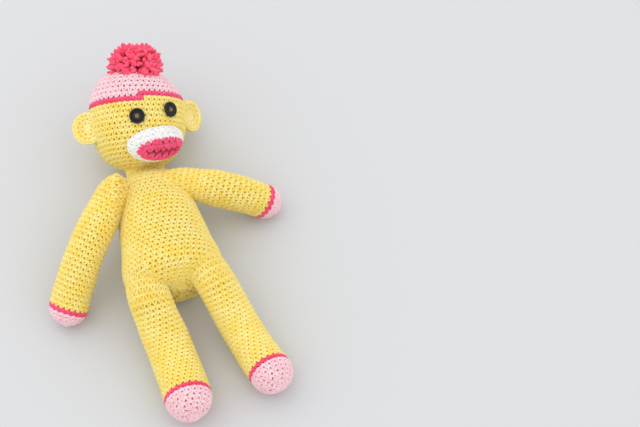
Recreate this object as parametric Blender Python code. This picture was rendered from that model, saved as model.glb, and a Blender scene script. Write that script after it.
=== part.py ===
"""A crocheted monkey doll with a bobble hat, lying on its back with its limbs spread.

The yarn skins are hollow and hold their stuffing. Each limb and the head end in a round
root on the torso, and turn about its centre. Metres, +Z up, +Y towards the head.
"""

from math import acos, atan2, cos, pi, radians, sin, sqrt, tau

import bmesh
import bpy
from mathutils import Matrix, Vector

# Fabric and fits
FABRIC = 0.004            # thickness of single crochet in worsted yarn
CLEARANCE = 0.0003        # between pieces that touch
FLOOR_CUT = 0.0005        # depth of the flat that a form is pressed to where it lies
OVERRUN = 0.01            # how far a cutter reaches past what it cuts

# Torso: a pear, measured down its axis from the centre of the neck joint
TORSO_LENGTH = 0.1145
NECK_RADIUS = 0.0285
CHEST_RADIUS = 0.0345
WAIST_RADIUS = 0.0385
HIP_RADIUS = 0.0450
BASE_FULLNESS = 2.4       # 2 is a round base, more is squarer
CHEST_DOWN_SHARE = 0.17
WAIST_DOWN_SHARE = 0.38
HIP_DOWN_SHARE = 0.72
TORSO_DEPTH_SHARE = 0.9   # front to back, as a share of side to side
NECK_HEIGHT = 0.037       # of the neck joint over the floor
NECK_OPENING = radians(34)  # half angle of the torso's open top
NOD_ROOM = radians(66)    # half angle of the cone that the head keeps out of
COLLAR_REACH = 0.06       # how far out that room is cut

# Head and hat: a full round form about its own axis
HEAD_RADIUS = 0.045
CROWN_SHARE = 1.0         # of the head's radius, that the crown is high
CHIN_SHARE = 1.11         # of the head's radius, that the chin is deep
CROWN_FULLNESS = 2.35     # 2 is an ellipse, more is squarer
CHIN_FULLNESS = 2.2
NECK_DROP = 0.02125       # of the neck joint below the chin
HEAD_SIDE = 0.005
HEAD_NOD = radians(23.7)  # rise of the crown over the floor
HEAD_LEAN = radians(10.5)
HAT_BAND_LOW = 0.0105     # above the middle of the head
HAT_BAND_WIDTH = 0.0098
CROWN_HEIGHT = HEAD_RADIUS * CROWN_SHARE
CHIN_DEPTH = HEAD_RADIUS * CHIN_SHARE
HEAD_REACH = CHIN_DEPTH + NECK_DROP

# Pompom: two bunches of yarn ends with a tie between them
POMPOM_RADIUS = 0.0172
POMPOM_HALF_WIDTH = 0.0252
POMPOM_SIDE = 0.0025      # off the crown, towards the left
POMPOM_LIFT = 0.0132      # of its middle over the crown
POMPOM_TUFT = 0.0016
POMPOM_TUFTS = 26
TIE_RADIUS = 0.0012
TIE_GROOVE_SHARE = 0.70   # groove floor, as a share of the pompom's radius
BUNCH_SHARE = 0.42        # middle of each bunch, as a share of the half width
BUNCH_START = radians(-28)

# Ears: crocheted cups
EAR_RADIUS = 0.0155
EAR_DEPTH = 0.0085
EAR_STANDS = {"right": 0.0025, "left": 0.0062}  # of the cup's middle, out from the head's side
EAR_TURN = radians(92.0)  # round the head, from the middle of the face
EAR_OPEN = radians(32.0)  # the cup faces forward, turned outward by this
EAR_RISES = {"right": -0.0068, "left": 0.0030}
FACE_TURN = radians(20.0)

# Muzzle and lips: padded ovals on the head
MUZZLE_TURN = radians(29.0)
MUZZLE_RISE = radians(-37.5)
MUZZLE_TILT = radians(12.0)
MUZZLE_HALF_WIDTH = 0.0258
MUZZLE_HALF_HEIGHT = 0.0148
MUZZLE_HEIGHT = 0.0078
MUZZLE_FULLNESS = 2.6     # 2 is an ellipse, more is squarer
MUZZLE_RIM_SHARE = 0.45   # of the fabric, that the pad's edge stands off the head
MUZZLE_SEAM_SHARE = 0.60  # of the fabric, that its edge is wide
MUZZLE_CORE_SHARE = 0.86
LIPS_TURN = radians(32.2)
LIPS_RISE = radians(-39.0)
LIPS_HALF_WIDTH = 0.0198
LIPS_HALF_HEIGHT = 0.0094
LIPS_HEIGHT = 0.0022
MOUTH_GROOVE = 0.0012
MOUTH_SHARE = 0.3         # half width of the groove, as a share of the lips' height

# Eye buttons, sewn through four holes
BUTTON_RADIUS = 0.0072
BUTTON_HEIGHT = 0.0028
BUTTON_HOLE_RADIUS = 0.0009
BUTTON_HOLE_SPACING = 0.0026
THREAD_RADIUS = 0.00045
EYES = {"right": (radians(3.1), radians(-5.3)), "left": (radians(44.6), radians(2.2))}

# Arms
ARM_LENGTH = {"right": 0.1235, "left": 0.0865}  # root's centre to fingertip
ARM_ROOT_RADIUS = 0.0145
ARM_RADIUS = 0.0176
HAND_RADIUS = 0.0168
SHOULDER_DOWN = {"right": 0.0165, "left": 0.0115}  # below the neck joint
SHOULDER_LIFT = {"right": radians(28.0), "left": radians(8.0)}
ARM_HEADING = {"right": (radians(40.0), radians(34.0)), "left": (radians(60.0), radians(73.0))}
HAND_SLOPE = {"right": radians(-36.0), "left": radians(-36.0)}
HAND_REACH = 0.0135       # from the band to the fingertip
ARM_BAND_WIDTH = 0.0060

# Legs
LEG_LENGTH = {"right": 0.1068, "left": 0.1060}  # root's centre to toe
LEG_ROOT_RADIUS = {"right": 0.0195, "left": 0.0187}
LEG_RADIUS = {"right": 0.0202, "left": 0.0180}
FOOT_RADIUS = {"right": 0.0206, "left": 0.0190}
HIP_SPREADS = {"right": 0.0226, "left": 0.0282}  # of the sockets on the base, from the axis
LEG_HEADING = {"right": (radians(-17.0), radians(-4.0)), "left": (radians(17.0), radians(17.0))}
FOOT_SLOPE = {"right": radians(10.0), "left": radians(8.0)}
FOOT_REACH = 0.0200       # from the band to the toe
LEG_BAND_WIDTH = 0.0050

SHOULDER_SHARE = 0.28     # of a limb, from its root to its full swell
SOCKET_DEPTH = 0.0013     # how deep a limb's root sits in the torso

# Counts of sides and rings
LIMB_SIDES = 16
BODY_SIDES = 24
MUZZLE_SIDES = 20
STUFFING_SIDES = 12
HOLE_SIDES = 8
THREAD_SIDES = 6
TIE_SIDES = 6
PATH_STEPS = 60
SETTLE_STEPS = 24
TIP_LIMIT = radians(10.0)
ROOT_SLOPE_LIMITS = (radians(-60.0), radians(45.0))
NEAR = radians(1.0)       # turn between near points that give a surface's direction
FLOOR_SPANS = 4

SIDES = {"right": -1, "left": 1}
UP = Vector((0, 0, 1))

# Yarn, button and stuffing colours, as linear light
COLOURS = {
    "yellow_yarn": (0.87, 0.69, 0.22),
    "hot_pink_yarn": (0.85, 0.06, 0.18),
    "pale_pink_yarn": (0.93, 0.56, 0.62),
    "white_yarn": (0.84, 0.82, 0.78),
    "black_button": (0.008, 0.008, 0.010),
    "tan_thread": (0.10, 0.07, 0.035),
    "fibrefill": (0.80, 0.79, 0.76),
}
GLOSS = {"black_button": 0.25}
SOFT_ROUGHNESS = 0.85


def clear_scene():
    for item in list(bpy.context.scene.objects):
        bpy.data.objects.remove(item, do_unlink=True)


def make_material(name):
    surface = bpy.data.materials.new(name)
    surface.use_nodes = True
    shader = surface.node_tree.nodes["Principled BSDF"]
    shader.inputs["Base Color"].default_value = (*COLOURS[name], 1.0)
    shader.inputs["Roughness"].default_value = GLOSS.get(name, SOFT_ROUGHNESS)
    shader.inputs["Metallic"].default_value = 0.0
    return surface


def make_pivot(name, place, parent=None):
    """An empty on a joint's axis, which carries the pieces of one moving body."""
    pivot = bpy.data.objects.new(name, None)
    bpy.context.scene.collection.objects.link(pivot)
    pivot.parent = parent
    pivot.location = place - (world_place(parent) if parent else Vector())
    return pivot


def world_place(item):
    place = item.location.copy()
    while item.parent:
        item = item.parent
        place += item.location
    return place


def make_piece(name, shape, finish, pivot):
    """Turn a bmesh in world places into an object carried by a pivot."""
    bmesh.ops.recalc_face_normals(shape, faces=shape.faces)
    bmesh.ops.translate(shape, verts=shape.verts, vec=-world_place(pivot))
    mesh = bpy.data.meshes.new(name)
    shape.to_mesh(mesh)
    shape.free()
    mesh.shade_smooth()
    piece = bpy.data.objects.new(name, mesh)
    bpy.context.scene.collection.objects.link(piece)
    piece.parent = pivot
    if finish:
        mesh.materials.append(bpy.data.materials[finish])
    return piece


def make_cutter(name, shape, pivot):
    cutter = make_piece(name, shape, None, pivot)
    cutter.hide_render = True
    cutter.display_type = "WIRE"
    return cutter


def cut(piece, cutter, operation="DIFFERENCE"):
    step = piece.modifiers.new(cutter.name, "BOOLEAN")
    step.object = cutter
    step.operation = operation
    step.solver = "EXACT"


def turned(place, loop, sides, closed=False):
    """Sweep a loop of (along, out) pairs round place(along, out, angle).

    An open loop starts and ends on the axis, where out is zero.
    """
    shape = bmesh.new()
    rings = []
    for along, out in loop:
        if out <= 0:
            rings.append([shape.verts.new(place(along, 0, 0))])
            continue
        angles = [tau * step / sides for step in range(sides)]
        rings.append([shape.verts.new(place(along, out, angle)) for angle in angles])
    pairs = list(zip(rings, rings[1:]))
    if closed:
        pairs.append((rings[-1], rings[0]))
    for first, second in pairs:
        for step in range(sides):
            after = (step + 1) % sides
            corners = [first[step % len(first)], first[after % len(first)],
                       second[after % len(second)], second[step % len(second)]]
            corners = list(dict.fromkeys(corners))
            shape.faces.new(corners)
    return shape


def ball(centre, radius, sides):
    """A round form with its poles on the X axis."""
    rings = sides // 2
    loop = [(-radius * cos(pi * step / rings), radius * sin(pi * step / rings))
            for step in range(1, rings)]

    def place(along, out, angle):
        return centre + Vector((along, out * cos(angle), out * sin(angle)))

    return turned(place, [(-radius, 0), *loop, (radius, 0)], sides)


def clear_of(radius, sides):
    """The radius of a faceted ball whose flats stay clear of a ball of this radius."""
    return (radius + CLEARANCE) / cos(pi / sides) ** 2


def offset(loop, depth):
    """The same profile, moved inward by a depth along its own normals."""
    moved = []
    for step, (along, out) in enumerate(loop):
        before = loop[max(step - 1, 0)]
        after = loop[min(step + 1, len(loop) - 1)]
        if out <= 0:
            inward = 1 if step == 0 else -1
            inward *= 1 if loop[-1][0] > loop[0][0] else -1
            moved.append((along + inward * depth, 0))
            continue
        run = Vector((after[0] - before[0], after[1] - before[1])).normalized()
        sign = 1 if loop[-1][0] > loop[0][0] else -1
        normal = Vector((-run.y, run.x)) * sign
        moved.append((along - normal.x * depth, max(out - normal.y * depth, depth)))
    return moved


def between(loop, start, end):
    """The part of a profile between two stations, with new points at the cuts."""
    sign = 1 if loop[-1][0] > loop[0][0] else -1

    def at(station):
        for first, second in zip(loop, loop[1:]):
            if sign * first[0] <= sign * station <= sign * second[0]:
                share = (station - first[0]) / (second[0] - first[0])
                return station, first[1] + share * (second[1] - first[1])
        return None

    kept = [pair for pair in loop if sign * start < sign * pair[0] < sign * end]
    first, last = at(start), at(end)
    return ([first] if first else []) + kept + ([last] if last else [])


def ease(share):
    share = min(max(share, 0.0), 1.0)
    return share * share * (3 - 2 * share)


def settle(lowest, low, high):
    """The value between low and high at which lowest(value) reaches the floor cut."""
    for _ in range(SETTLE_STEPS):
        middle = (low + high) / 2
        if lowest(middle) > -FLOOR_CUT:
            high = middle
        else:
            low = middle
    return (low + high) / 2


def lowest_point(place, loop, sides):
    angles = [tau * step / sides for step in range(sides)]
    return min(place(along, out, angle).z for along, out in loop for angle in angles)


class Torso:
    """A pear about a straight axis that tips until its hips reach the floor."""

    def __init__(self):
        self.neck = Vector((0, 0, NECK_HEIGHT))
        self.loop = self.profile()
        self.tip = settle(self.lowest, -TIP_LIMIT, TIP_LIMIT)

    def radius(self, down):
        """Smooth from the neck past the chest and waist to the hips, then a full base."""
        hip_down = TORSO_LENGTH * HIP_DOWN_SHARE
        if down >= hip_down:
            share = min((down - hip_down) / (TORSO_LENGTH - hip_down), 1.0)
            return HIP_RADIUS * (1 - share ** BASE_FULLNESS) ** (1 / BASE_FULLNESS)
        stations = [(0.0, NECK_RADIUS), (TORSO_LENGTH * CHEST_DOWN_SHARE, CHEST_RADIUS),
                    (TORSO_LENGTH * WAIST_DOWN_SHARE, WAIST_RADIUS), (hip_down, HIP_RADIUS)]
        slopes = [(stations[1][1] - stations[0][1]) / (stations[1][0] - stations[0][0])]
        for before, after in zip(stations, stations[2:]):
            slopes.append((after[1] - before[1]) / (after[0] - before[0]))
        slopes.append(0.0)
        for step in range(3):
            (start, first), (end, second) = stations[step], stations[step + 1]
            if down <= end:
                run = end - start
                share = (down - start) / run
                rise = ease(share)
                bend = share * (1 - share)
                return (first + (second - first) * rise
                        + bend * run * ((1 - share) * slopes[step] - share * slopes[step + 1]))
        return HIP_RADIUS

    def profile(self):
        dome_steps, body_steps, base_steps = 5, 8, 5
        hip_down = TORSO_LENGTH * HIP_DOWN_SHARE
        loop = [(-NECK_RADIUS, 0)]
        for step in range(1, dome_steps):
            angle = pi / 2 * step / dome_steps
            loop.append((-NECK_RADIUS * cos(angle), NECK_RADIUS * sin(angle)))
        for step in range(body_steps):
            down = hip_down * step / body_steps
            loop.append((down, self.radius(down)))
        for step in range(base_steps):
            angle = pi / 2 * step / base_steps
            down = hip_down + (TORSO_LENGTH - hip_down) * sin(angle)
            loop.append((down, self.radius(down)))
        loop.append((TORSO_LENGTH, 0))
        return loop

    def place(self, down, out, angle):
        """A point on or in the torso. The neck is round and the rest a little flat."""
        along = Vector((0, -cos(self.tip), sin(self.tip)))
        over = Vector((0, sin(self.tip), cos(self.tip)))
        flat = 1 - (1 - TORSO_DEPTH_SHARE) * ease(down / (TORSO_LENGTH * WAIST_DOWN_SHARE))
        return self.neck + along * down + Vector((out * cos(angle), 0, 0)) + over * out * sin(angle) * flat

    def lowest(self, tip):
        self.tip = tip
        return lowest_point(self.place, self.loop, BODY_SIDES)

    def seat(self, down, angle, radius):
        """The centre of a round root that sits in the torso's side at a place."""
        step = TORSO_LENGTH / PATH_STEPS
        here = self.place(down, self.radius(down), angle)
        run = self.place(down + step, self.radius(down + step), angle) - here
        round_ = self.place(down, self.radius(down), angle + NEAR) - here
        normal = run.cross(round_).normalized()
        if normal.dot(here - self.place(down, 0, 0)) < 0:
            normal.negate()
        return here + normal * (radius - SOCKET_DEPTH)


class Limb:
    """A stuffed tube on a bent path, with a round root, a band and a round end."""

    def __init__(self, root, side, reach, headings, end_slope, radii, end_reach, band_width):
        self.root, self.side = root, side
        self.headings, self.end_slope = headings, end_slope
        self.root_radius, self.middle_radius, self.end_radius = radii
        self.length = reach - self.end_radius
        self.band_end = reach - end_reach
        self.band_start = self.band_end - band_width
        self.loop = self.profile()
        self.root_slope = 0.0
        self.root_slope = settle(self.lowest, *ROOT_SLOPE_LIMITS)

    def radius(self, along):
        """Swells from the root to the middle, and on to the hand or foot."""
        middle = self.length * SHOULDER_SHARE
        if along < middle:
            share = ease(along / middle)
            return self.root_radius + (self.middle_radius - self.root_radius) * share
        share = ease((along - middle) / (self.length - middle))
        return self.middle_radius + (self.end_radius - self.middle_radius) * share

    def profile(self):
        root_steps, body_steps, end_steps = 4, 7, 4
        loop = [(-self.root_radius, 0)]
        for step in range(1, root_steps):
            angle = pi / 2 * step / root_steps
            loop.append((-self.root_radius * cos(angle), self.root_radius * sin(angle)))
        for step in range(body_steps):
            along = self.length * step / body_steps
            loop.append((along, self.radius(along)))
        for step in range(end_steps):
            angle = pi / 2 * step / end_steps
            loop.append((self.length + self.end_radius * sin(angle), self.end_radius * cos(angle)))
        loop.append((self.length + self.end_radius, 0))
        return loop

    def run_path(self):
        """Centres at even steps, with the direction of the path at each."""
        self.path = [(self.root.copy(), self.direction(0))]
        for step in range(PATH_STEPS):
            share = (step + 1 / 2) / PATH_STEPS
            centre = self.path[-1][0] + self.direction(share) * self.length / PATH_STEPS
            self.path.append((centre, self.direction((step + 1) / PATH_STEPS)))

    def direction(self, share):
        start = self.root_radius / self.length / 2
        bend = ease((share - start) / (1 - start))
        heading = self.headings[0] + (self.headings[1] - self.headings[0]) * bend
        slope = self.root_slope + (self.end_slope - self.root_slope) * bend
        return Vector((self.side * sin(heading) * cos(slope), -cos(heading) * cos(slope), sin(slope)))

    def place(self, along, out, angle):
        step = along / self.length * PATH_STEPS
        low = int(min(max(step, 0), PATH_STEPS - 1))
        (first, start), (second, end) = self.path[low], self.path[low + 1]
        share = min(max(step - low, 0), 1)
        ahead = start.lerp(end, share).normalized()
        centre = first.lerp(second, share)
        centre += ahead * (along - min(max(along, 0), self.length))
        across = ahead.cross(UP).normalized()
        over = across.cross(ahead)
        return centre + across * out * cos(angle) + over * out * sin(angle)

    def lowest(self, slope):
        self.root_slope = slope
        self.run_path()
        return lowest_point(self.place, self.loop, LIMB_SIDES)


class Head:
    """A full round form about a nodding axis, with places named by turn and rise."""

    def __init__(self, neck):
        self.up = Vector((sin(HEAD_LEAN) * cos(HEAD_NOD), cos(HEAD_LEAN) * cos(HEAD_NOD), sin(HEAD_NOD)))
        self.front = (UP - self.up * UP.dot(self.up)).normalized()
        self.right = self.up.cross(self.front)
        self.loop = self.profile()
        self.centre = neck + Vector((HEAD_SIDE, HEAD_REACH, 0))
        self.centre.z = 0
        self.centre.z = -FLOOR_CUT - lowest_point(self.place, self.loop, BODY_SIDES)

    def profile(self):
        crown_steps, chin_steps = 6, 8
        loop = [(CROWN_HEIGHT, 0)]
        for step in range(1, crown_steps + chin_steps):
            crown = step < crown_steps
            share = step / crown_steps if crown else 1 + (step - crown_steps) / chin_steps
            angle = pi / 2 * share
            power = 2 / (CROWN_FULLNESS if crown else CHIN_FULLNESS)
            reach = CROWN_HEIGHT if crown else -CHIN_DEPTH
            loop.append((reach * abs(cos(angle)) ** power, HEAD_RADIUS * sin(angle) ** power))
        loop.append((-CHIN_DEPTH, 0))
        return loop

    def place(self, along, out, angle):
        return self.centre + self.up * along + self.right * out * cos(angle) + self.front * out * sin(angle)

    def toward(self, turn, rise):
        """The direction from the head's middle to a turn round it and a rise up it."""
        flat = self.front * cos(turn) + self.right * sin(turn)
        return flat * cos(rise) + self.up * sin(rise)

    def reach(self, direction):
        """How far the head's surface lies from its middle in a direction."""
        along = direction.dot(self.up)
        out = (direction - self.up * along).length
        half, fullness = (CROWN_HEIGHT, CROWN_FULLNESS) if along > 0 else (CHIN_DEPTH, CHIN_FULLNESS)
        return ((abs(along) / half) ** fullness + (out / HEAD_RADIUS) ** fullness) ** (-1 / fullness)

    def surface(self, direction):
        return self.centre + direction * self.reach(direction)

    def normal(self, direction):
        """The surface's outward normal, from two near points."""
        side = direction.cross(self.up).normalized()
        over = side.cross(direction)
        here = self.surface(direction)
        first = self.surface((direction + side * NEAR).normalized()) - here
        second = self.surface((direction + over * NEAR).normalized()) - here
        normal = first.cross(second).normalized()
        return normal if normal.dot(direction) > 0 else -normal


class Patch:
    """An oval pad on the head: turn, rise and tilt say where, height() how proud."""

    def __init__(self, head, turn, rise, tilt, half_width, half_height):
        self.head = head
        self.middle = head.toward(turn, rise)
        east = head.up.cross(self.middle).normalized()
        north = self.middle.cross(east)
        self.wide = east * cos(tilt) + north * sin(tilt)
        self.tall = north * cos(tilt) - east * sin(tilt)
        self.half_width, self.half_height = half_width, half_height

    def direction(self, share, angle):
        """Out from the pad's middle by a share of its half size, round its oval."""
        across = share * self.half_width * cos(angle)
        over = share * self.half_height * sin(angle)
        bend = Vector((across, over)).length / HEAD_RADIUS
        if bend <= 0:
            return self.middle
        aside = (self.wide * across + self.tall * over).normalized()
        return self.middle * cos(bend) + aside * sin(bend)

    def share_at(self, direction):
        """How far out of the pad's middle a direction lies, one at its edge."""
        bend = acos(min(max(direction.dot(self.middle), -1), 1))
        aside = direction - self.middle * direction.dot(self.middle)
        if aside.length <= 0:
            return 0.0
        aside = aside.normalized() * bend * HEAD_RADIUS
        across, over = aside.dot(self.wide), aside.dot(self.tall)
        return Vector((across / self.half_width, over / self.half_height)).length


def crowned(share, height):
    """Height of a padded oval at a share of its half size, zero at its edge."""
    return height * sqrt(max(1 - min(share, 1) ** MUZZLE_FULLNESS, 0))


def make_skins(form, sides, pivot, cuts, names, mouth=None):
    """Split one hollow profile at the stations in cuts, a named skin for each stretch.

    A skin is open where it is cut, and at its mouth, the station where it starts.
    """
    inner = offset(form.loop, FABRIC)
    sign = 1 if form.loop[-1][0] > form.loop[0][0] else -1
    before = form.loop[0][0] - sign * OVERRUN if mouth is None else mouth
    ends = [before, *cuts, form.loop[-1][0] + sign * OVERRUN]
    pieces = {}
    for (name, finish), start, end in zip(names, ends, ends[1:]):
        start += sign * CLEARANCE / 2
        end -= sign * CLEARANCE / 2
        outer_part, inner_part = between(form.loop, start, end), between(inner, start, end)
        first, last = outer_part[0][1] <= 0, outer_part[-1][1] <= 0
        loop = outer_part + list(reversed(inner_part))
        if last:
            loop = list(reversed(inner_part)) + outer_part
        shape = turned(form.place, loop, sides, closed=not (first or last))
        pieces[name] = make_piece(name, shape, finish, pivot)
    return pieces


def make_stuffing(name, form, start, end, pivot, steps=9):
    """A fibrefill core inside a skin, with the profile's own swell, drawn plainly."""
    inner = offset(form.loop, FABRIC + CLEARANCE * 2)
    sign = 1 if form.loop[-1][0] > form.loop[0][0] else -1
    low, high = inner[0][0], inner[-1][0]
    start = low if start is None else start
    end = high if end is None else end
    loop = []
    for step in range(steps + 1):
        share = (1 - cos(pi * step / steps)) / 2
        station = start + (end - start) * share
        part = between(inner, station, high)
        loop.append((station, part[0][1]))
    loop[0] = (start, loop[0][1] if sign * start > sign * low else 0)
    if loop[0][1] > 0:
        loop.insert(0, (start, 0))
    loop[-1] = (end, 0)
    return make_piece(name, turned(form.place, loop, STUFFING_SIDES), "fibrefill", pivot)


def make_limb(kind, end_name, side, limb, shoulder):
    """A limb's skin in three yarns, its stuffing, and the ball of stuffing in its root."""
    name = f"{side}_{kind}"
    swing = make_pivot(f"{name}_swing", limb.root, shoulder)
    lift = make_pivot(f"{name}_lift", limb.root, swing)
    names = [(f"{name}_sleeve", "yellow_yarn"), (f"{name}_band", "hot_pink_yarn"),
             (f"{side}_{end_name}", "pale_pink_yarn")]
    pieces = make_skins(limb, LIMB_SIDES, lift, [limb.band_start, limb.band_end], names)
    root_ball = (limb.root_radius - FABRIC) * cos(pi / LIMB_SIDES) ** 2 - CLEARANCE
    wad = ball(limb.root, root_ball, STUFFING_SIDES)
    make_piece(f"{name}_root_wad", wad, "fibrefill", swing)
    make_stuffing(f"{name}_stuffing", limb, root_ball + CLEARANCE, None, lift)
    return pieces, lift


def make_button(side, head, pivot):
    """A round button with a raised rim and four holes, and its crossed thread."""
    direction = head.toward(*EYES[side])
    normal = head.normal(direction)
    middle = head.surface(direction) + normal * CLEARANCE
    across = head.right - normal * head.right.dot(normal)
    across.normalize()
    over = normal.cross(across)

    def place(along, out, angle):
        return middle + normal * along + across * out * cos(angle) + over * out * sin(angle)

    rim_shares = ((0, 0), (0, 0.90), (0.30, 1), (0.70, 1), (1, 0.90), (1, 0.76), (0.66, 0.62), (0.60, 0))
    loop = [(BUTTON_HEIGHT * high, BUTTON_RADIUS * out) for high, out in rim_shares]
    button = make_piece(f"{side}_eye_button", turned(place, loop, BODY_SIDES), "black_button", pivot)
    corners = [pi / 4 + pi / 2 * step for step in range(4)]
    hole_reach = BUTTON_HOLE_SPACING / sqrt(2)
    for step, corner in enumerate(corners):
        aside = across * hole_reach * cos(corner) + over * hole_reach * sin(corner)
        hole_loop = [(-OVERRUN, 0), (-OVERRUN, BUTTON_HOLE_RADIUS),
                     (OVERRUN, BUTTON_HOLE_RADIUS), (OVERRUN, 0)]

        def hole_place(along, out, angle):
            return place(along, out, angle + pi / HOLE_SIDES) + aside

        hole = turned(hole_place, hole_loop, HOLE_SIDES)
        cut(button, make_cutter(f"{side}_eye_hole_{step + 1}", hole, pivot))
    face = BUTTON_HEIGHT * rim_shares[-1][0] + CLEARANCE + THREAD_RADIUS
    foot = CLEARANCE
    strands = []
    for start in range(2):
        ends = [across * hole_reach * cos(corner) + over * hole_reach * sin(corner)
                for corner in (corners[start], corners[start + 2])]
        points = [middle + ends[0] + normal * foot, middle + ends[0] + normal * face,
                  middle + ends[1] + normal * face, middle + ends[1] + normal * foot]
        strands.append(tube(points, THREAD_RADIUS, THREAD_SIDES))
    thread = make_piece(f"{side}_eye_thread", strands[0], "tan_thread", pivot)
    cut(thread, make_cutter(f"{side}_eye_thread_cross", strands[1], pivot), "UNION")


def tube(points, radius, sides):
    """A capped tube with mitred corners along a few points."""
    shape = bmesh.new()
    plane = (points[1] - points[0]).cross(points[2] - points[1]).normalized()
    rings = []
    for step, point in enumerate(points):
        before = (point - points[step - 1]).normalized() if step else None
        after = (points[step + 1] - point).normalized() if step + 1 < len(points) else None
        ahead = ((before or after) + (after or before)).normalized()
        stretch = 1 / max(ahead.dot(before or after), 1 / sides)
        side = ahead.cross(plane).normalized()
        angles = [tau * (turn + 1 / 2) / sides for turn in range(sides)]
        rings.append([shape.verts.new(point + side * radius * stretch * cos(angle)
                                      + plane * radius * sin(angle)) for angle in angles])
    for first, second in zip(rings, rings[1:]):
        for turn in range(sides):
            after = (turn + 1) % sides
            shape.faces.new([first[turn], first[after], second[after], second[turn]])
    shape.faces.new(rings[0])
    shape.faces.new(rings[-1])
    return shape


def make_pompom(head, pivot, crown_cutter):
    """Two bunches of cut yarn ends, drawn in between by the tie."""
    middle = head.centre + head.up * (CROWN_HEIGHT + POMPOM_LIFT) + head.right * POMPOM_SIDE
    axis, front = head.right, head.front

    def place(along, out, angle):
        return middle + axis * along + front * out * sin(angle) + head.up * out * cos(angle)

    groove = POMPOM_RADIUS * TIE_GROOVE_SHARE
    half_groove = TIE_RADIUS + CLEARANCE * 2
    bunch_middle = POMPOM_HALF_WIDTH * BUNCH_SHARE
    steps = 6
    half = [(half_groove, groove)]
    for step in range(steps + 1):
        angle = BUNCH_START + (pi / 2 - BUNCH_START) * step / steps
        half.append((bunch_middle + (POMPOM_HALF_WIDTH - bunch_middle) * sin(angle),
                     POMPOM_RADIUS * cos(angle)))
    half[-1] = (POMPOM_HALF_WIDTH, 0)
    loop = [(-along, out) for along, out in reversed(half)] + [(0, groove)] + half

    def tufted(along, out, angle):
        """Every other yarn end stands out, in turn along the bunch."""
        smooth = abs(along) <= half_groove or out <= 0
        turn = round(angle * POMPOM_TUFTS / tau)
        ring = [pair[0] for pair in loop].index(along)
        tuft = 0 if smooth else POMPOM_TUFT * (1 if (turn + ring) % 2 else -1)
        return place(along, out + tuft, angle)

    pompom = make_piece("pompom", turned(tufted, loop, POMPOM_TUFTS), "hot_pink_yarn", pivot)
    cut(pompom, crown_cutter)
    centre_out = groove + CLEARANCE + TIE_RADIUS
    tie_turns = [tau * step / TIE_SIDES for step in range(TIE_SIDES)]
    tie_loop = [(TIE_RADIUS * cos(turn), centre_out + TIE_RADIUS * sin(turn)) for turn in tie_turns]
    tie = make_piece("pompom_tie", turned(place, tie_loop, BODY_SIDES, closed=True), "hot_pink_yarn", pivot)
    cut(tie, crown_cutter)


def make_ear(side, head, pivot, head_cutter):
    """A crocheted cup, sewn on by its edge with the hollow to the front."""
    sign = SIDES[side]
    outward = head.front * cos(FACE_TURN + sign * EAR_TURN) + head.right * sin(FACE_TURN + sign * EAR_TURN)
    forward = head.toward(FACE_TURN, 0)
    axis = (forward * cos(EAR_OPEN) + outward * sin(EAR_OPEN)).normalized()
    over = head.up
    across = over.cross(axis).normalized()
    middle = head.centre + outward * (HEAD_RADIUS + EAR_STANDS[side]) + head.up * EAR_RISES[side]
    middle -= axis * EAR_DEPTH / 2
    back_shares = ((0, 0), (0.06, 0.40), (0.26, 0.74), (0.62, 0.95), (0.90, 1))
    rim_shares = ((1, 0.35), (0.95, 0.80))
    front_shares = ((0.68, 0.70), (0.52, 0.36), (0.46, 0))
    outer = [(EAR_DEPTH * deep, EAR_RADIUS * out) for deep, out in back_shares]
    inner = [(EAR_DEPTH * deep, EAR_RADIUS - FABRIC * wall) for deep, wall in rim_shares]
    inner += [(EAR_DEPTH * deep, EAR_RADIUS * out) for deep, out in front_shares]

    def place(along, out, angle):
        return middle + axis * along + across * out * cos(angle) + over * out * sin(angle)

    ear = make_piece(f"{side}_ear", turned(place, outer + inner, LIMB_SIDES), "yellow_yarn", pivot)
    cut(ear, head_cutter)


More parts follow.
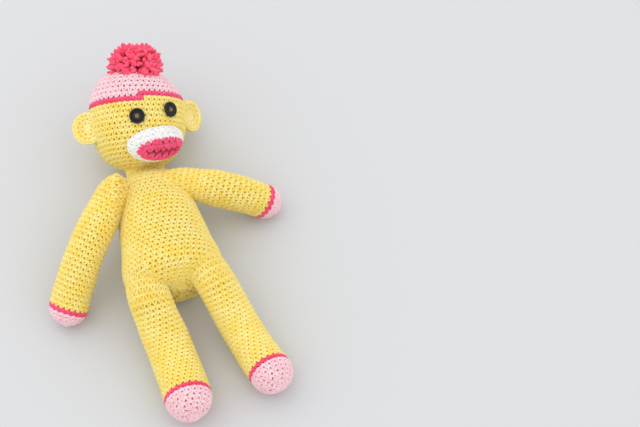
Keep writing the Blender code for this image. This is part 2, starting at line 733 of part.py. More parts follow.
def make_face(head, pivot, neck_cutters):
    """The padded muzzle with its stuffing, and the lips on it, clear of the neck."""
    muzzle = Patch(head, MUZZLE_TURN, MUZZLE_RISE, MUZZLE_TILT, MUZZLE_HALF_WIDTH, MUZZLE_HALF_HEIGHT)
    lips = Patch(head, LIPS_TURN, LIPS_RISE, MUZZLE_TILT, LIPS_HALF_WIDTH, LIPS_HALF_HEIGHT)
    edge = FABRIC * MUZZLE_RIM_SHARE

    def on_muzzle(height, share, angle):
        direction = muzzle.direction(share, angle)
        return head.surface(direction) + direction * height

    def top(share):
        return edge + crowned(share, MUZZLE_HEIGHT - edge)

    outer_shares = (0, 0.30, 0.55, 0.76, 0.92, 1)
    hollow_shares = (0.72, 0.5, 0.28, 0)
    outer = [(top(share), share) for share in outer_shares]
    wall_share = 1 - FABRIC * MUZZLE_SEAM_SHARE / MUZZLE_HALF_HEIGHT
    hollow = [(max(top(share) - FABRIC, CLEARANCE * 3), share) for share in hollow_shares]
    rim = [(CLEARANCE, 1), (CLEARANCE, wall_share)]
    shape = turned(on_muzzle, outer + rim + hollow, MUZZLE_SIDES)
    pieces = [make_piece("muzzle", shape, "white_yarn", pivot)]
    core_shares = (0, 0.28, 0.5, 0.68)
    core_base = CLEARANCE * 2
    core = [(top(share) - FABRIC - CLEARANCE, share * MUZZLE_CORE_SHARE) for share in core_shares]
    core += [(core_base, share * MUZZLE_CORE_SHARE) for share in reversed(core_shares)]
    core_shape = turned(on_muzzle, core, STUFFING_SIDES)
    pieces.append(make_piece("muzzle_stuffing", core_shape, "fibrefill", pivot))

    def on_lips(height, share, angle):
        direction = lips.direction(share, angle)
        base = top(muzzle.share_at(direction)) + CLEARANCE
        across_mouth = abs(share * sin(angle))
        groove = MOUTH_GROOVE * max(1 - across_mouth / MOUTH_SHARE, 0) if height > CLEARANCE else 0
        return head.surface(direction) + direction * (base + height - groove)

    top_shares = ((1, 0), (1, 0.25), (1, 0.5), (1, 0.75), (0.85, 0.93), (0.45, 1))
    back_shares = (0.95, 0.75, 0.5, 0.25, 0)
    lip_loop = [(LIPS_HEIGHT * high, share) for high, share in top_shares]
    lip_loop += [(CLEARANCE, share) for share in back_shares]
    lip_shape = turned(on_lips, lip_loop, BODY_SIDES)
    pieces.append(make_piece("lips", lip_shape, "hot_pink_yarn", pivot))
    for piece in pieces:
        for cutter in neck_cutters:
            cut(piece, cutter)


def collar_shape(torso):
    """The room that the head's nod needs over the shoulders: a cone from the neck joint."""
    loop = [(0, 0), (-NECK_RADIUS * cos(NOD_ROOM), NECK_RADIUS * sin(NOD_ROOM)),
            (-COLLAR_REACH * cos(NOD_ROOM), COLLAR_REACH * sin(NOD_ROOM)), (OVERRUN, COLLAR_REACH),
            (COLLAR_REACH, COLLAR_REACH), (COLLAR_REACH, 0)]
    return turned(torso.place, loop, BODY_SIDES)


def make_head(torso, doll):
    """Hat, band and face skins on one form, cut at the neck where the torso enters."""
    head = Head(torso.neck)
    turn = make_pivot("neck_turn", torso.neck, doll)
    nod = make_pivot("neck_nod", torso.neck, turn)
    band_high = HAT_BAND_LOW + HAT_BAND_WIDTH
    names = [("hat_crown", "pale_pink_yarn"), ("hat_band", "hot_pink_yarn"), ("head_skin", "yellow_yarn")]
    skins = make_skins(head, BODY_SIDES, nod, [band_high, HAT_BAND_LOW], names)
    stuffing = make_stuffing("head_stuffing", head, None, None, nod, steps=11)
    dome = make_cutter("neck_hollow", ball(torso.neck, clear_of(NECK_RADIUS, BODY_SIDES), BODY_SIDES), nod)
    collar = make_cutter("neck_relief", collar_shape(torso), nod)
    for piece in (skins["head_skin"], stuffing):
        cut(piece, dome)
        cut(piece, collar)
    wad = ball(torso.neck, NECK_RADIUS - FABRIC - CLEARANCE * 2, LIMB_SIDES)
    make_piece("neck_wad", wad, "fibrefill", turn)
    grown = offset(head.loop, -CLEARANCE)
    head_cutter = make_cutter("head_form", turned(head.place, grown, BODY_SIDES), nod)
    make_pompom(head, nod, head_cutter)
    make_face(head, nod, (dome, collar))
    for side in SIDES:
        make_ear(side, head, nod, head_cutter)
        make_button(side, head, nod)
    return skins


def make_floor(doll, reach):
    """A slab below the floor, which presses flats on what lies there."""
    shape = bmesh.new()
    bmesh.ops.create_cube(shape, size=1)
    bmesh.ops.scale(shape, verts=shape.verts, vec=Vector((reach, reach, OVERRUN)))
    bmesh.ops.translate(shape, verts=shape.verts, vec=Vector((0, 0, -OVERRUN / 2)))
    return make_cutter("floor", shape, doll)


def press_flat(pieces, floor):
    for piece in pieces:
        lowest = min((world_place(piece) + corner.co).z for corner in piece.data.vertices)
        if lowest < 0:
            cut(piece, floor)


def centre_on_floor(doll):
    """Move the whole doll so that the middle of its outline is over the origin."""
    pieces = [item for item in bpy.context.scene.objects if item.type == "MESH" and not item.hide_render]
    corners = [world_place(piece) + corner.co for piece in pieces for corner in piece.data.vertices]
    for axis in range(2):
        low = min(corner[axis] for corner in corners)
        high = max(corner[axis] for corner in corners)
        doll.location[axis] = -(low + high) / 2


def main():
    clear_scene()
    for name in COLOURS:
        make_material(name)
    doll = make_pivot("doll", Vector())
    torso = Torso()
    names = [("body_skin", "yellow_yarn")]
    mouth = -NECK_RADIUS * cos(NECK_OPENING)
    body = make_skins(torso, BODY_SIDES, doll, [], names, mouth)["body_skin"]
    wad_radius = NECK_RADIUS - FABRIC - CLEARANCE * 2
    make_stuffing("body_stuffing", torso, wad_radius + CLEARANCE, None, doll, steps=11)
    skins = dict(make_head(torso, doll), body_skin=body)
    for side, sign in SIDES.items():
        lift = SHOULDER_LIFT[side]
        angle = lift if sign > 0 else pi - lift
        shoulder = torso.seat(SHOULDER_DOWN[side], angle, ARM_ROOT_RADIUS)
        radii = (ARM_ROOT_RADIUS, ARM_RADIUS, HAND_RADIUS)
        arm = Limb(shoulder, sign, ARM_LENGTH[side], ARM_HEADING[side], HAND_SLOPE[side],
                   radii, HAND_REACH, ARM_BAND_WIDTH)
        skins.update(make_limb("arm", "hand", side, arm, doll)[0])
        hip_down = TORSO_LENGTH * HIP_DOWN_SHARE
        base = TORSO_LENGTH - hip_down
        spread = HIP_SPREADS[side] / HIP_RADIUS
        socket_down = hip_down + base * (1 - spread ** BASE_FULLNESS) ** (1 / BASE_FULLNESS)
        radii = (LEG_ROOT_RADIUS[side], LEG_RADIUS[side], FOOT_RADIUS[side])
        hip = torso.seat(socket_down, 0 if sign > 0 else pi, radii[0])
        leg = Limb(hip, sign, LEG_LENGTH[side], LEG_HEADING[side], FOOT_SLOPE[side],
                   radii, FOOT_REACH, LEG_BAND_WIDTH)
        skins.update(make_limb("leg", "foot", side, leg, doll)[0])
        for joint, centre, radius in (("shoulder", shoulder, ARM_ROOT_RADIUS), ("hip", hip, radii[0])):
            hollow = ball(centre, clear_of(radius, BODY_SIDES), BODY_SIDES)
            cut(body, make_cutter(f"{side}_{joint}_hollow", hollow, doll))
    floor = make_floor(doll, (TORSO_LENGTH + HEAD_REACH) * FLOOR_SPANS)
    press_flat(skins.values(), floor)
    centre_on_floor(doll)
    for pivot in bpy.context.scene.objects:
        if pivot.type == "EMPTY":
            print(pivot.name, tuple(round(value, 5) for value in world_place(pivot)))


main()
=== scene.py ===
"""A crocheted monkey doll with a bobble hat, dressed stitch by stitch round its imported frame."""

from math import cos, pi, radians, sin, sqrt, tau

import bpy
import numpy as np
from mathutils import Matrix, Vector


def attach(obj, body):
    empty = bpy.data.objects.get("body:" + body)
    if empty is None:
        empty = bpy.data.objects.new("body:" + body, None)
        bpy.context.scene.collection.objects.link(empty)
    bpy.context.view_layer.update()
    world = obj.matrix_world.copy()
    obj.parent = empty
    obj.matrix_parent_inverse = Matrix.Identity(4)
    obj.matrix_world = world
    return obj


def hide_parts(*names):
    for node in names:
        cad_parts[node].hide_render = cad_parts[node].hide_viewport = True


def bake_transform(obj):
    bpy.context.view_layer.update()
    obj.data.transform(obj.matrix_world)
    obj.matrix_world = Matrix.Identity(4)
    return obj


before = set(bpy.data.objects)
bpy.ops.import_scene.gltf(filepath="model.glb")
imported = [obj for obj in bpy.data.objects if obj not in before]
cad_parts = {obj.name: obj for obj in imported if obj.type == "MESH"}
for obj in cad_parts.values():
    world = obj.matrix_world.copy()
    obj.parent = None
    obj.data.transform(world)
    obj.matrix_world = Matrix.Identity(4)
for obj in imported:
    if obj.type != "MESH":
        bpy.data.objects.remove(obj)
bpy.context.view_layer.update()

# Body: a pear of single crochet in yellow acrylic worsted yarn, worked in one spiral from the
# base up to the neck, stuffed firmly with fibrefill and left open at the top for the head.
DOLL_PLACE = np.array([-0.00104, 0.04276, 0.0])   # the point of the floor under the neck joint
NECK = DOLL_PLACE + [0, 0, 0.037]
TORSO_LENGTH = 0.1115
TORSO_STATIONS = [0.0, 0.17, 0.38, 0.60, 0.80]    # shares of its length: neck, chest, waist, belly, hips
TORSO_RADII = [0.0285, 0.0345, 0.0378, 0.0412, 0.0452]
BASE_FULLNESS = 2.5                               # 2 makes a round base, and more a squarer one
NECK_DEPTH_SHARE, TORSO_DEPTH_SHARE = 0.62, 0.9   # front to back, as a share of side to side
TORSO_TIP = radians(2.067)                        # the torso's line rises this much to its base
TORSO_DOWN = np.array([0, -cos(TORSO_TIP), sin(TORSO_TIP)])
TORSO_OVER = np.array([0, sin(TORSO_TIP), cos(TORSO_TIP)])
NECK_RADIUS = TORSO_RADII[0]
NECK_SHOULDER = 0.007       # above the joint it stays as wide as the shoulders for this much,
NECK_STUB, NECK_STUB_RADIUS = 0.022, 0.0178       # narrows over this length for the head to sit on,
NECK_END = 0.027                                  # and ends here, inside the head
NECK_SINK, NECK_STUB_SHARE = 0.0045, 0.50         # it sinks back this far, and is this flat

STITCH_WIDTH = 0.0058       # one single crochet, side to side
ROUND_HEIGHT = 0.0050       # and from round to round
STITCH_LEAN = 0.30          # how far each round moves along, as a share of a stitch
YARN_RADIUS = 0.00124
PLY_TWIST = 620.0           # radians a metre: a ply comes round about every 10 mm
PLY_DEPTH = 0.07            # how far the three plies stand proud, as a share of the radius
LINING_DEPTH = 0.0024       # of the knotted backs of the stitches under the surface
LINING_THICKNESS = 0.0008
FLOOR_GAP = 0.0003
FLOOR_SOFTNESS = 0.0016     # a form starts to flatten at about this height off the floor
LUMP = 0.0005               # how uneven the stuffing leaves a form


def ease(share):
    """From 0 to 1, level at both ends."""
    share = np.clip(share, 0, 1)
    return share * share * (3 - 2 * share)


def unit(vectors):
    return vectors / (np.linalg.norm(vectors, axis=-1, keepdims=True) + 1e-12)


def smooth_through(stations, values, end_slope, places):
    """A smooth curve through a few measured radii, level or sloped at its end."""
    slopes = [(values[1] - values[0]) / (stations[1] - stations[0])]
    slopes += [(c - a) / (z - x) for x, z, a, c in zip(stations, stations[2:], values, values[2:])]
    slopes.append(end_slope)
    found = np.full(np.shape(places), values[-1], float)
    for step in range(len(stations) - 2, -1, -1):
        run = stations[step + 1] - stations[step]
        share = (places - stations[step]) / run
        curve = (values[step] + (values[step + 1] - values[step]) * ease(share)
                 + share * (1 - share) * run * ((1 - share) * slopes[step] - share * slopes[step + 1]))
        found = np.where(places <= stations[step + 1], curve, found)
    return found


class Form:
    """A stuffed round form: a profile turned about a line, climbed in rounds from its tip."""

    def __init__(self, place, along, out, swell=None):
        self.place, self.along, self.out, self.swell = place, np.asarray(along), np.asarray(out), swell
        steps = np.hypot(np.diff(self.along), np.diff(self.out))
        self.climb = np.concatenate([[0], np.cumsum(steps)])
        self.length = self.climb[-1]
        facing = -np.sign(self.along[-1] - self.along[0])
        rise, widening = np.gradient(self.along, self.climb), np.gradient(self.out, self.climb)
        self.normal_along, self.normal_out = facing * widening, -facing * rise
        self.spin = 1
        self.spin = 1 if self.leans_right() else -1

    def at(self, climb, turn, height=0.0):
        """Points a climb up from the tip, a turn round, and a height off the surface."""
        if self.swell is not None:
            height = height + self.swell(climb, turn)
        read = [np.interp(climb, self.climb, values) for values in
                (self.along, self.out, self.normal_along, self.normal_out)]
        along = read[0] + height * read[2]
        out = read[1] + height * read[3]
        return self.place(along, out, turn * self.spin)

    def leans_right(self):
        """True if a larger turn lies to the right, seen from outside with the climb upward."""
        here, near = self.length / 2, self.length / 100
        middle = self.at(here, 0.0)
        up = self.at(here + near, 0.0) - middle
        outward = self.at(here, 0.0, near) - middle
        return np.dot(self.at(here, 0.1) - middle, np.cross(up, outward)) > 0


def torso_radius(down):
    """Half the torso's width, by the way down from the neck joint; above the joint, down is below zero."""
    hip = TORSO_LENGTH * TORSO_STATIONS[-1]
    share = np.clip((down - hip) / (TORSO_LENGTH - hip), 0, 1)
    base = TORSO_RADII[-1] * (1 - share ** BASE_FULLNESS) ** (1 / BASE_FULLNESS)
    stations = [TORSO_LENGTH * share for share in TORSO_STATIONS]
    side = smooth_through(stations, TORSO_RADII, 0.0, down)
    narrowed = ease((-down - NECK_SHOULDER) / (NECK_STUB - NECK_SHOULDER))
    stub = NECK_RADIUS + (NECK_STUB_RADIUS - NECK_RADIUS) * narrowed
    return np.where(down > hip, base, np.where(down < 0, stub, side))


def torso_flat(down):
    """Front to back as a share of side to side: flattest at the neck, and rounder down to the waist."""
    waist_share = ease((down + NECK_RADIUS / 2) / (TORSO_LENGTH * TORSO_STATIONS[2] + NECK_RADIUS / 2))
    flat = NECK_DEPTH_SHARE + (TORSO_DEPTH_SHARE - NECK_DEPTH_SHARE) * waist_share
    return flat + (NECK_STUB_SHARE - flat) * ease(-down / NECK_STUB)


def torso_place(along, out, turn):
    over = out * np.sin(turn) * torso_flat(along) - NECK_SINK * ease(-along / NECK_STUB)
    return (NECK + np.multiply.outer(along, TORSO_DOWN) + np.multiply.outer(over, TORSO_OVER)
            + np.multiply.outer(out * np.cos(turn), np.array([1.0, 0, 0])))


def depth_in_torso(points):
    """How deep points lie under the torso's surface; below zero outside it."""
    away = points - NECK
    down = away @ TORSO_DOWN
    over = away @ TORSO_OVER + NECK_SINK * ease(-down / NECK_STUB)
    inside = (down > -NECK_END) & (down < TORSO_LENGTH)
    return np.where(inside, torso_radius(down) - np.hypot(away[..., 0], over / torso_flat(down)), -1.0)


def lumps(size, phase):
    """The slight unevenness of a hand-stuffed form, by climb and turn."""
    return lambda climb, turn: size * (np.sin(3 * turn + 95 * climb + phase) * np.sin(70 * climb + 2 * phase)
                                       + np.sin(2 * turn - 60 * climb + 3 * phase)) / 2


def torso_form():
    base = TORSO_LENGTH * np.sin(np.linspace(0, pi / 2, 60))
    down = np.concatenate([base[::-1], -NECK_END * np.linspace(0, 1, 24)[1:]])
    return Form(torso_place, down, torso_radius(down), lumps(LUMP, 0.4))


# One stitch: two legs of a V that come out of the round below and spread, and the bar of its
# top. Each point is (share of a stitch along, share of a round up, millimetres off the surface).
LEFT_LEG = [(0.00, -0.54, -2.7), (-0.03, -0.36, -1.75), (-0.09, -0.10, -1.20), (-0.24, 0.22, -0.90),
            (-0.38, 0.52, -0.85), (-0.46, 0.76, -1.35), (-0.47, 0.96, -2.7)]
RIGHT_LEG = [(0.04, -0.52, -2.7), (0.07, -0.34, -1.70), (0.11, -0.08, -1.20), (0.25, 0.24, -0.90),
             (0.39, 0.52, -0.85), (0.46, 0.76, -1.35), (0.47, 0.96, -2.7)]
TOP_BAR = [(-0.58, 0.76, -2.0), (-0.30, 0.62, -1.20), (0.00, 0.54, -0.90), (0.30, 0.62, -1.20),
           (0.58, 0.76, -2.0)]
STRANDS = [LEFT_LEG, RIGHT_LEG, TOP_BAR]
# A stitch left open at an edge.
PETAL = [[(0.00, -0.30, -2.6), (side * 0.14, -0.05, -1.1), (side * 0.27, 0.35, -0.8),
          (side * 0.24, 0.72, -0.7), (side * 0.10, 1.00, -1.0), (0.00, 1.12, -2.4)] for side in (-1, 1)]


def rounds_of(form, width=STITCH_WIDTH, height=ROUND_HEIGHT, first=6, start=0.0, end=None, phase=0.0):
    """Every stitch of a form worked in a spiral to the left, as (climb, foot, head, span).

    foot and head are the turns of its lower and upper end, and span the turn that it takes up.
    """
    end = form.length if end is None else end
    count = max(int(round((end - start) / height)), 1)
    tall = (end - start) / count
    stitches, before = [], None
    for level in range(count):
        here = start + (level + 0.6) * tall
        number = max(int(round(tau * float(np.interp(here, form.climb, form.out)) / width)), first)
        if before and abs(number - before) < 1.5:
            number = before
        span = tau / (number + STITCH_LEAN)
        phase += STITCH_LEAN * last_span if before else 0.0
        for step in range(number):
            head = phase - step * span
            foot = head - STITCH_LEAN * span
            if before:
                parent = (step + 0.5) * before / number - 0.5
                if number > before:
                    parent += 0.4 * (round(parent) - parent)
                foot = last_phase - parent * last_span
            stitches.append((start + (level + step / number) * tall, foot, head, span))
        before, last_phase, last_span = number, phase, span
    return np.array(stitches), tall


def yarn_paths(form, stitches, tall, strand, scale):
    """The points of one strand of every stitch, and the direction across each of them."""
    along, up, off = np.array(strand).T
    climb = stitches[:, :1] + up * tall
    turn = stitches[:, 1:2] + (stitches[:, 2:3] - stitches[:, 1:2]) * up + along * stitches[:, 3:4]
    height = np.broadcast_to(off * 0.001 * scale, climb.shape)
    points = form.at(climb, turn, height)
    across = form.at(climb, turn + 0.05, height) - points
    ahead = form.at(climb + 0.001, turn, height) - points
    return points, across, ahead


def eased_points(points, steps):
    """A smooth line of more points through each strand's few."""
    count = points.shape[1]
    places = np.linspace(0, count - 1, steps)
    low = np.minimum(places.astype(int), count - 2)
    share = (places - low)[None, :, None]
    padded = np.concatenate([2 * points[:, :1] - points[:, 1:2], points,
                             2 * points[:, -1:] - points[:, -2:-1]], 1)
    a, b, c, d = (padded[:, low + shift] for shift in range(4))
    return 0.5 * (2 * b + (c - a) * share + (2 * a - 5 * b + 4 * c - d) * share ** 2
                  + (3 * b - a - 3 * c + d) * share ** 3)


def wall_faces(rings, sides):
    """Four-cornered faces that join each ring of points to the next one."""
    ring, here = np.arange(rings - 1)[:, None] * sides, np.arange(sides)[None, :]
    after = (here + 1) % sides
    return np.stack([ring + here, ring + after, ring + sides + after, ring + sides + here], -1).reshape(-1, 4)


def end_faces(rings, sides):
    """One face over the first ring, and one over the last."""
    return np.stack([np.arange(sides)[::-1], (rings - 1) * sides + np.arange(sides)])


def yarn_tubes(points, reference, radius, sides=6, taper=None, twist=PLY_TWIST, tuck=0.0):
    """One part of three-ply yarn along many lines at once, with how deep each step is tucked, which sets its
    painted shade.
    """
    count, steps = points.shape[:2]
    ahead = unit(np.gradient(points, axis=1))
    side = unit(reference - (reference * ahead).sum(2, keepdims=True) * ahead)
    over = np.cross(ahead, side)
    run = np.linalg.norm(np.diff(points, axis=1), axis=2)
    run = np.concatenate([np.zeros((count, 1)), np.cumsum(run, 1)], 1)
    angles = tau * np.arange(sides) / sides + (run * twist)[:, :, None]
    ply = radius * (1 + PLY_DEPTH * np.where(np.arange(sides) % 2, -1, 1))
    reach = ply * (np.ones(steps) if taper is None else np.asarray(taper))[:, None]
    ring = (side[:, :, None] * (np.cos(angles) * reach)[..., None]
            + over[:, :, None] * (np.sin(angles) * reach)[..., None])
    corners = (points[:, :, None] + ring).reshape(-1, 3)
    shift = (np.arange(count) * steps * sides)[:, None, None]
    painted_shade_weights = np.tile(np.repeat(np.broadcast_to(tuck, steps), sides), count)
    return (corners, painted_shade_weights, (wall_faces(steps, sides)[None] + shift).reshape(-1, 4),
            (end_faces(steps, sides)[None] + shift).reshape(-1, sides))


def make_mesh(name, parts):
    """One mesh of several parts: each its corners, how deep these are tucked, which sets their painted shade, and
    its faces.
    """
    mesh = bpy.data.meshes.new(name)
    corners, painted_shade_weights, loops, starts, shift, at = [], [], [], [], 0, 0
    for points, tuck, *groups in parts:
        corners.append(points)
        painted_shade_weights.append(np.broadcast_to(tuck, len(points)))
        for faces in groups:
            loops.append((faces + shift).ravel())
            starts.append(at + np.arange(len(faces)) * faces.shape[1])
            at += faces.size
        shift += len(points)
    corners, painted_shade_weights, loops, starts = (np.concatenate(lists) for lists in (corners, painted_shade_weights, loops, starts))
    corners[:, 2] = pressed(corners[:, 2])
    mesh.vertices.add(len(corners))
    mesh.vertices.foreach_set("co", corners.astype(np.float32).ravel())
    mesh.loops.add(len(loops))
    mesh.loops.foreach_set("vertex_index", loops.astype(np.int32))
    mesh.polygons.add(len(starts))
    mesh.polygons.foreach_set("loop_start", starts.astype(np.int32))
    mesh.update(calc_edges=True)
    mesh.validate()
    mesh.shade_smooth()
    # The painted shade weights go to the material as the tuck attribute.
    if painted_shade_weights.any():
        mesh.attributes.new("tuck", "FLOAT", "POINT").data.foreach_set("value", painted_shade_weights.astype(np.float32))
    return mesh


def pressed(heights):
    """Where a form lies on the floor its yarn is flattened, and nothing goes below."""
    soft = FLOOR_SOFTNESS
    low = np.clip(heights, -4 * soft, 2 * soft)
    flattened = FLOOR_GAP + soft * np.log1p(np.exp((low - FLOOR_GAP) / soft)) * 0.93
    return np.where(heights < 2 * soft, flattened, heights)


def crochet(form, stitches, tall, radius=YARN_RADIUS, scale=1.0, strands=STRANDS):
    """The yarn of a set of stitches, one part for each strand."""
    parts = []
    for strand, steps in zip(strands, (9, 9, 6)):
        points, across, ahead = yarn_paths(form, stitches, tall, strand, scale)
        reference = eased_points(ahead if strand is TOP_BAR else across, steps)
        # How far each step tucks under the surface sets its painted shade.
        off = eased_points(np.array([strand]), steps)[0, :, 2]
        parts.append(yarn_tubes(eased_points(points, steps), reference, radius,
                                tuck=np.clip((-off - 0.9) / 1.8, 0, 1)))
    return parts


def lining(form, start=0.0, end=None, around=64, depth=LINING_DEPTH):
    """The closed backs of the stitches: a shell a little under the surface, wholly in the painted shade colour."""
    end = form.length if end is None else end
    levels = max(int((end - start) / 0.003), 4)
    climb, turn = np.meshgrid(np.linspace(start, end, levels + 1), tau * np.arange(around) / around,
                              indexing="ij")
    outer = form.at(climb, turn, -depth).reshape(-1, 3)
    inner = form.at(climb, turn, -depth - LINING_THICKNESS).reshape(-1, 3)
    walls, size = wall_faces(levels + 1, around), len(outer)
    here, after = np.arange(around), (np.arange(around) + 1) % around
    rims = [np.stack([base + here, base + after, base + size + after, base + size + here], -1)
            for base in (0, levels * around)]
    faces = np.concatenate([walls, walls[:, ::-1] + size, rims[0][:, ::-1], rims[1]])
    return [(np.concatenate([outer, inner]), 1.0, faces)]


def colour(hex_value):
    """An sRGB hex colour as the linear light that a shader takes."""
    parts = [int(hex_value[place:place + 2], 16) / 255 for place in (1, 3, 5)]
    return (*(part / 12.92 if part <= 0.04045 else ((part + 0.055) / 1.055) ** 2.4 for part in parts), 1.0)


def add(material, kind, settings=(), links=()):
    """Add one node to a material, with its settings by socket or property, and its links."""
    node = material.node_tree.nodes.new(kind)
    for name, value in dict(settings).items():
        if isinstance(name, int) or name in node.inputs:
            node.inputs[name].default_value = value
        else:
            setattr(node, name, value)
    for socket, source in dict(links).items():
        material.node_tree.links.new(source, node.inputs[socket])
    return node


def new_material(name):
    material = bpy.data.materials.new(name)
    material.use_nodes = True
    material.node_tree.nodes.clear()
    return material


def acrylic_yarn(name, light, base, deep):
    """Brushed acrylic worsted yarn, spun in plies: a soft, matt strand with a faint halo of fibre.
    Painted shade: its colour goes from light on its crowns to a deeper shade colour where it tucks
    under the next stitch. The dye drifts over about 11 mm, and the fibres are drawn 0.7 mm across, coarser than
    real ones, so that they show."""
    material = new_material(name)
    where = add(material, "ShaderNodeTexCoord").outputs["Object"]
    dye = add(material, "ShaderNodeTexNoise", {"Scale": 90.0, "Detail": 2.0}, {"Vector": where})
    fibre = add(material, "ShaderNodeTexNoise", {"Scale": 1500.0, "Detail": 3.0, "Roughness": 0.7},
                {"Vector": where})
    tone = add(material, "ShaderNodeValToRGB", {}, {"Fac": dye.outputs["Fac"]})
    tone.color_ramp.elements[0].position, tone.color_ramp.elements[0].color = 0.35, colour(base)
    tone.color_ramp.elements[1].position, tone.color_ramp.elements[1].color = 0.65, colour(light)
    # Painted shade: the colour is mixed toward the deep shade colour by how far each strand tucks under, standing
    # in for the shade in the holes.
    tuck = add(material, "ShaderNodeAttribute", {"attribute_name": "tuck"})
    mixed = add(material, "ShaderNodeMix", {"data_type": "RGBA", 7: colour(deep)},
                {0: tuck.outputs["Fac"], 6: tone.outputs["Color"]})
    bump = add(material, "ShaderNodeBump", {"Strength": 0.35, "Distance": 0.0003},
               {"Height": fibre.outputs["Fac"]})
    shader = add(material, "ShaderNodeBsdfPrincipled",
                 {"Roughness": 0.85, "IOR": 1.5, "Specular IOR Level": 0.2, "Sheen Weight": 0.25,
                  "Sheen Roughness": 0.5},
                 {"Base Color": mixed.outputs[2], "Normal": bump.outputs["Normal"]})
    add(material, "ShaderNodeOutputMaterial", {}, {"Surface": shader.outputs["BSDF"]})
    return material


# Butter yellow on the crowns of the stitches, and a painted golden shade in the holes between them.
YELLOW = acrylic_yarn("yellow_acrylic_yarn", "#FFEC8E", "#FFE26A", "#F0BE1C")
# Carded polyester: white, matt and loose. It takes the yarn's soft fibre finish.
WADDING = acrylic_yarn("polyester_fibrefill", "#FCFCFA", "#F5F5F2", "#E4E2DC")


def new_object(name, data):
    made = bpy.data.objects.new(name, data)
    bpy.context.scene.collection.objects.link(made)
    return made


def finish_piece(name, parts, material, body, nodes, bends=None):
    """Make the piece, hang it on its body, or with bends bake it in place, and let it stand for its nodes."""
    piece = new_object(name, make_mesh(name, parts))
    piece.data.materials.append(material)
    if bends:
        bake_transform(piece)
    else:
        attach(piece, body)
    if nodes:
        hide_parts(*nodes)


HIDDEN_DEPTH = 0.004        # of stitches that another form covers
WAD_RINGS, WAD_SIDES, WAD_LUMP = 24, 32, 0.0007
FIBRES, FIBRE_RADIUS, FIBRE_CURL = 90, 0.00014, 0.0022   # far thicker than real fibres, so that they show


def fibrefill(name, form, start, end, depth, body, nodes, bends=None):
    """Polyester wadding pressed into a form: a lumpy core with loose curled fibres over it."""
    wide = form.climb[form.out > depth + 0.002]
    climb, turn = np.meshgrid(np.linspace(max(start, wide[0]), min(end, wide[-1]), WAD_RINGS),
                              tau * np.arange(WAD_SIDES) / WAD_SIDES, indexing="ij")
    uneven = WAD_LUMP * (np.sin(5 * turn + 300 * climb) * np.sin(230 * climb + 2 * turn)
                         + np.sin(3 * turn - 410 * climb))
    corners = form.at(climb, turn, uneven - depth - 0.0015).reshape(-1, 3)
    chance = np.random.default_rng(len(name))
    low, high = climb[2, 0], climb[-3, 0]
    middle = np.stack([chance.uniform(low, high, FIBRES), chance.uniform(0, tau, FIBRES)], 1)
    curl = np.linspace(0, 1.6 * tau, 14)[None, :] + chance.uniform(0, tau, (FIBRES, 1))
    fibre_climb = middle[:, :1] + FIBRE_CURL * np.cos(curl) + 0.0003 * curl
    fibre_turn = middle[:, 1:] + 0.12 * np.sin(curl)
    line = form.at(fibre_climb, fibre_turn, np.full(curl.shape, -depth - 0.0008))
    ahead = form.at(fibre_climb + 0.001, fibre_turn, np.full(curl.shape, -depth)) - line
    core = corners, 0.0, wall_faces(WAD_RINGS, WAD_SIDES), end_faces(WAD_RINGS, WAD_SIDES)
    finish_piece(name, [core, yarn_tubes(line, ahead, FIBRE_RADIUS, 3)], WADDING, body, nodes,
                 bends)


HEAD_RADIUS, CROWN_HEIGHT, CHIN_DEPTH = 0.045, 0.045, 0.04995
CROWN_FULLNESS, CHIN_FULLNESS = 2.35, 2.2         # 2 is round, and more is squarer
HEAD_CENTRE = DOLL_PLACE + [0.0050, 0.0712, 0.046228]
HEAD_UP = np.array([0.166866, 0.900330, 0.401948])
HEAD_FRONT = np.array([-0.073249, -0.395217, 0.915663])
HEAD_RIGHT = np.array([0.983255, -0.182236, 0.0])


def head_reach(directions):
    """From the head's centre to its surface, rounder over the chin than over the crown."""
    along = directions @ HEAD_UP
    out = np.sqrt(np.maximum(1 - along ** 2, 1e-9))
    half = np.where(along > 0, CROWN_HEIGHT, CHIN_DEPTH)
    full = np.where(along > 0, CROWN_FULLNESS, CHIN_FULLNESS)
    return ((np.abs(along) / half) ** full + (out / HEAD_RADIUS) ** full) ** (-1 / full)


def depth_in_head(points):
    """How deep points lie under the head's surface; below zero outside it."""
    away = points - HEAD_CENTRE
    far = np.linalg.norm(away, axis=-1) + 1e-9
    return head_reach(away / far[..., None]) - far


def stitch_middles(form, stitches, tall):
    return form.at(stitches[:, 0] + tall / 2, stitches[:, 2])


torso = torso_form()
stitches, tall = rounds_of(torso)
lower = stitches[:, 0] < torso.length * 0.5
outside = depth_in_head(stitch_middles(torso, stitches, tall)) < HIDDEN_DEPTH
finish_piece("body_crochet_lower", crochet(torso, stitches[lower], tall) + lining(torso), YELLOW, "torso",
             ["body_skin"])
finish_piece("body_crochet_upper", crochet(torso, stitches[~lower & outside], tall), YELLOW, "torso",
             [])
fibrefill("body_fibrefill", torso, 0.0, torso.length, 0.0055, "torso", ["body_stuffing"])

# Arms and legs: tubes worked from a pale pink tip, through a hot pink stripe, in yellow to a
# closed round root, stuffed a little softer than the body and sewn to it by the root.
SHOULDER_SHARE = 0.28
PATH_STEPS = 60
SEWN_HIDDEN_DEPTH = 0.014   # of a limb's stitches in the body, that a turned limb draws out
WAD_REACH = 0.008           # of the firm wad in a limb's root, each way from the joint
SEAM_ACROSS = np.array([0.961, -0.276, 0.0])   # over the line where the right arm is sewn down
SEAM_STEEPNESS, SEAM_ROUNDING, SEAM_DEPTH = 3.2, 0.004, 0.028
RIGHT_ARM_SEAM = -0.0415
SEWN_LINING_DEPTH = 0.0013  # the end is drawn in by the sewing, so its backs lie closer
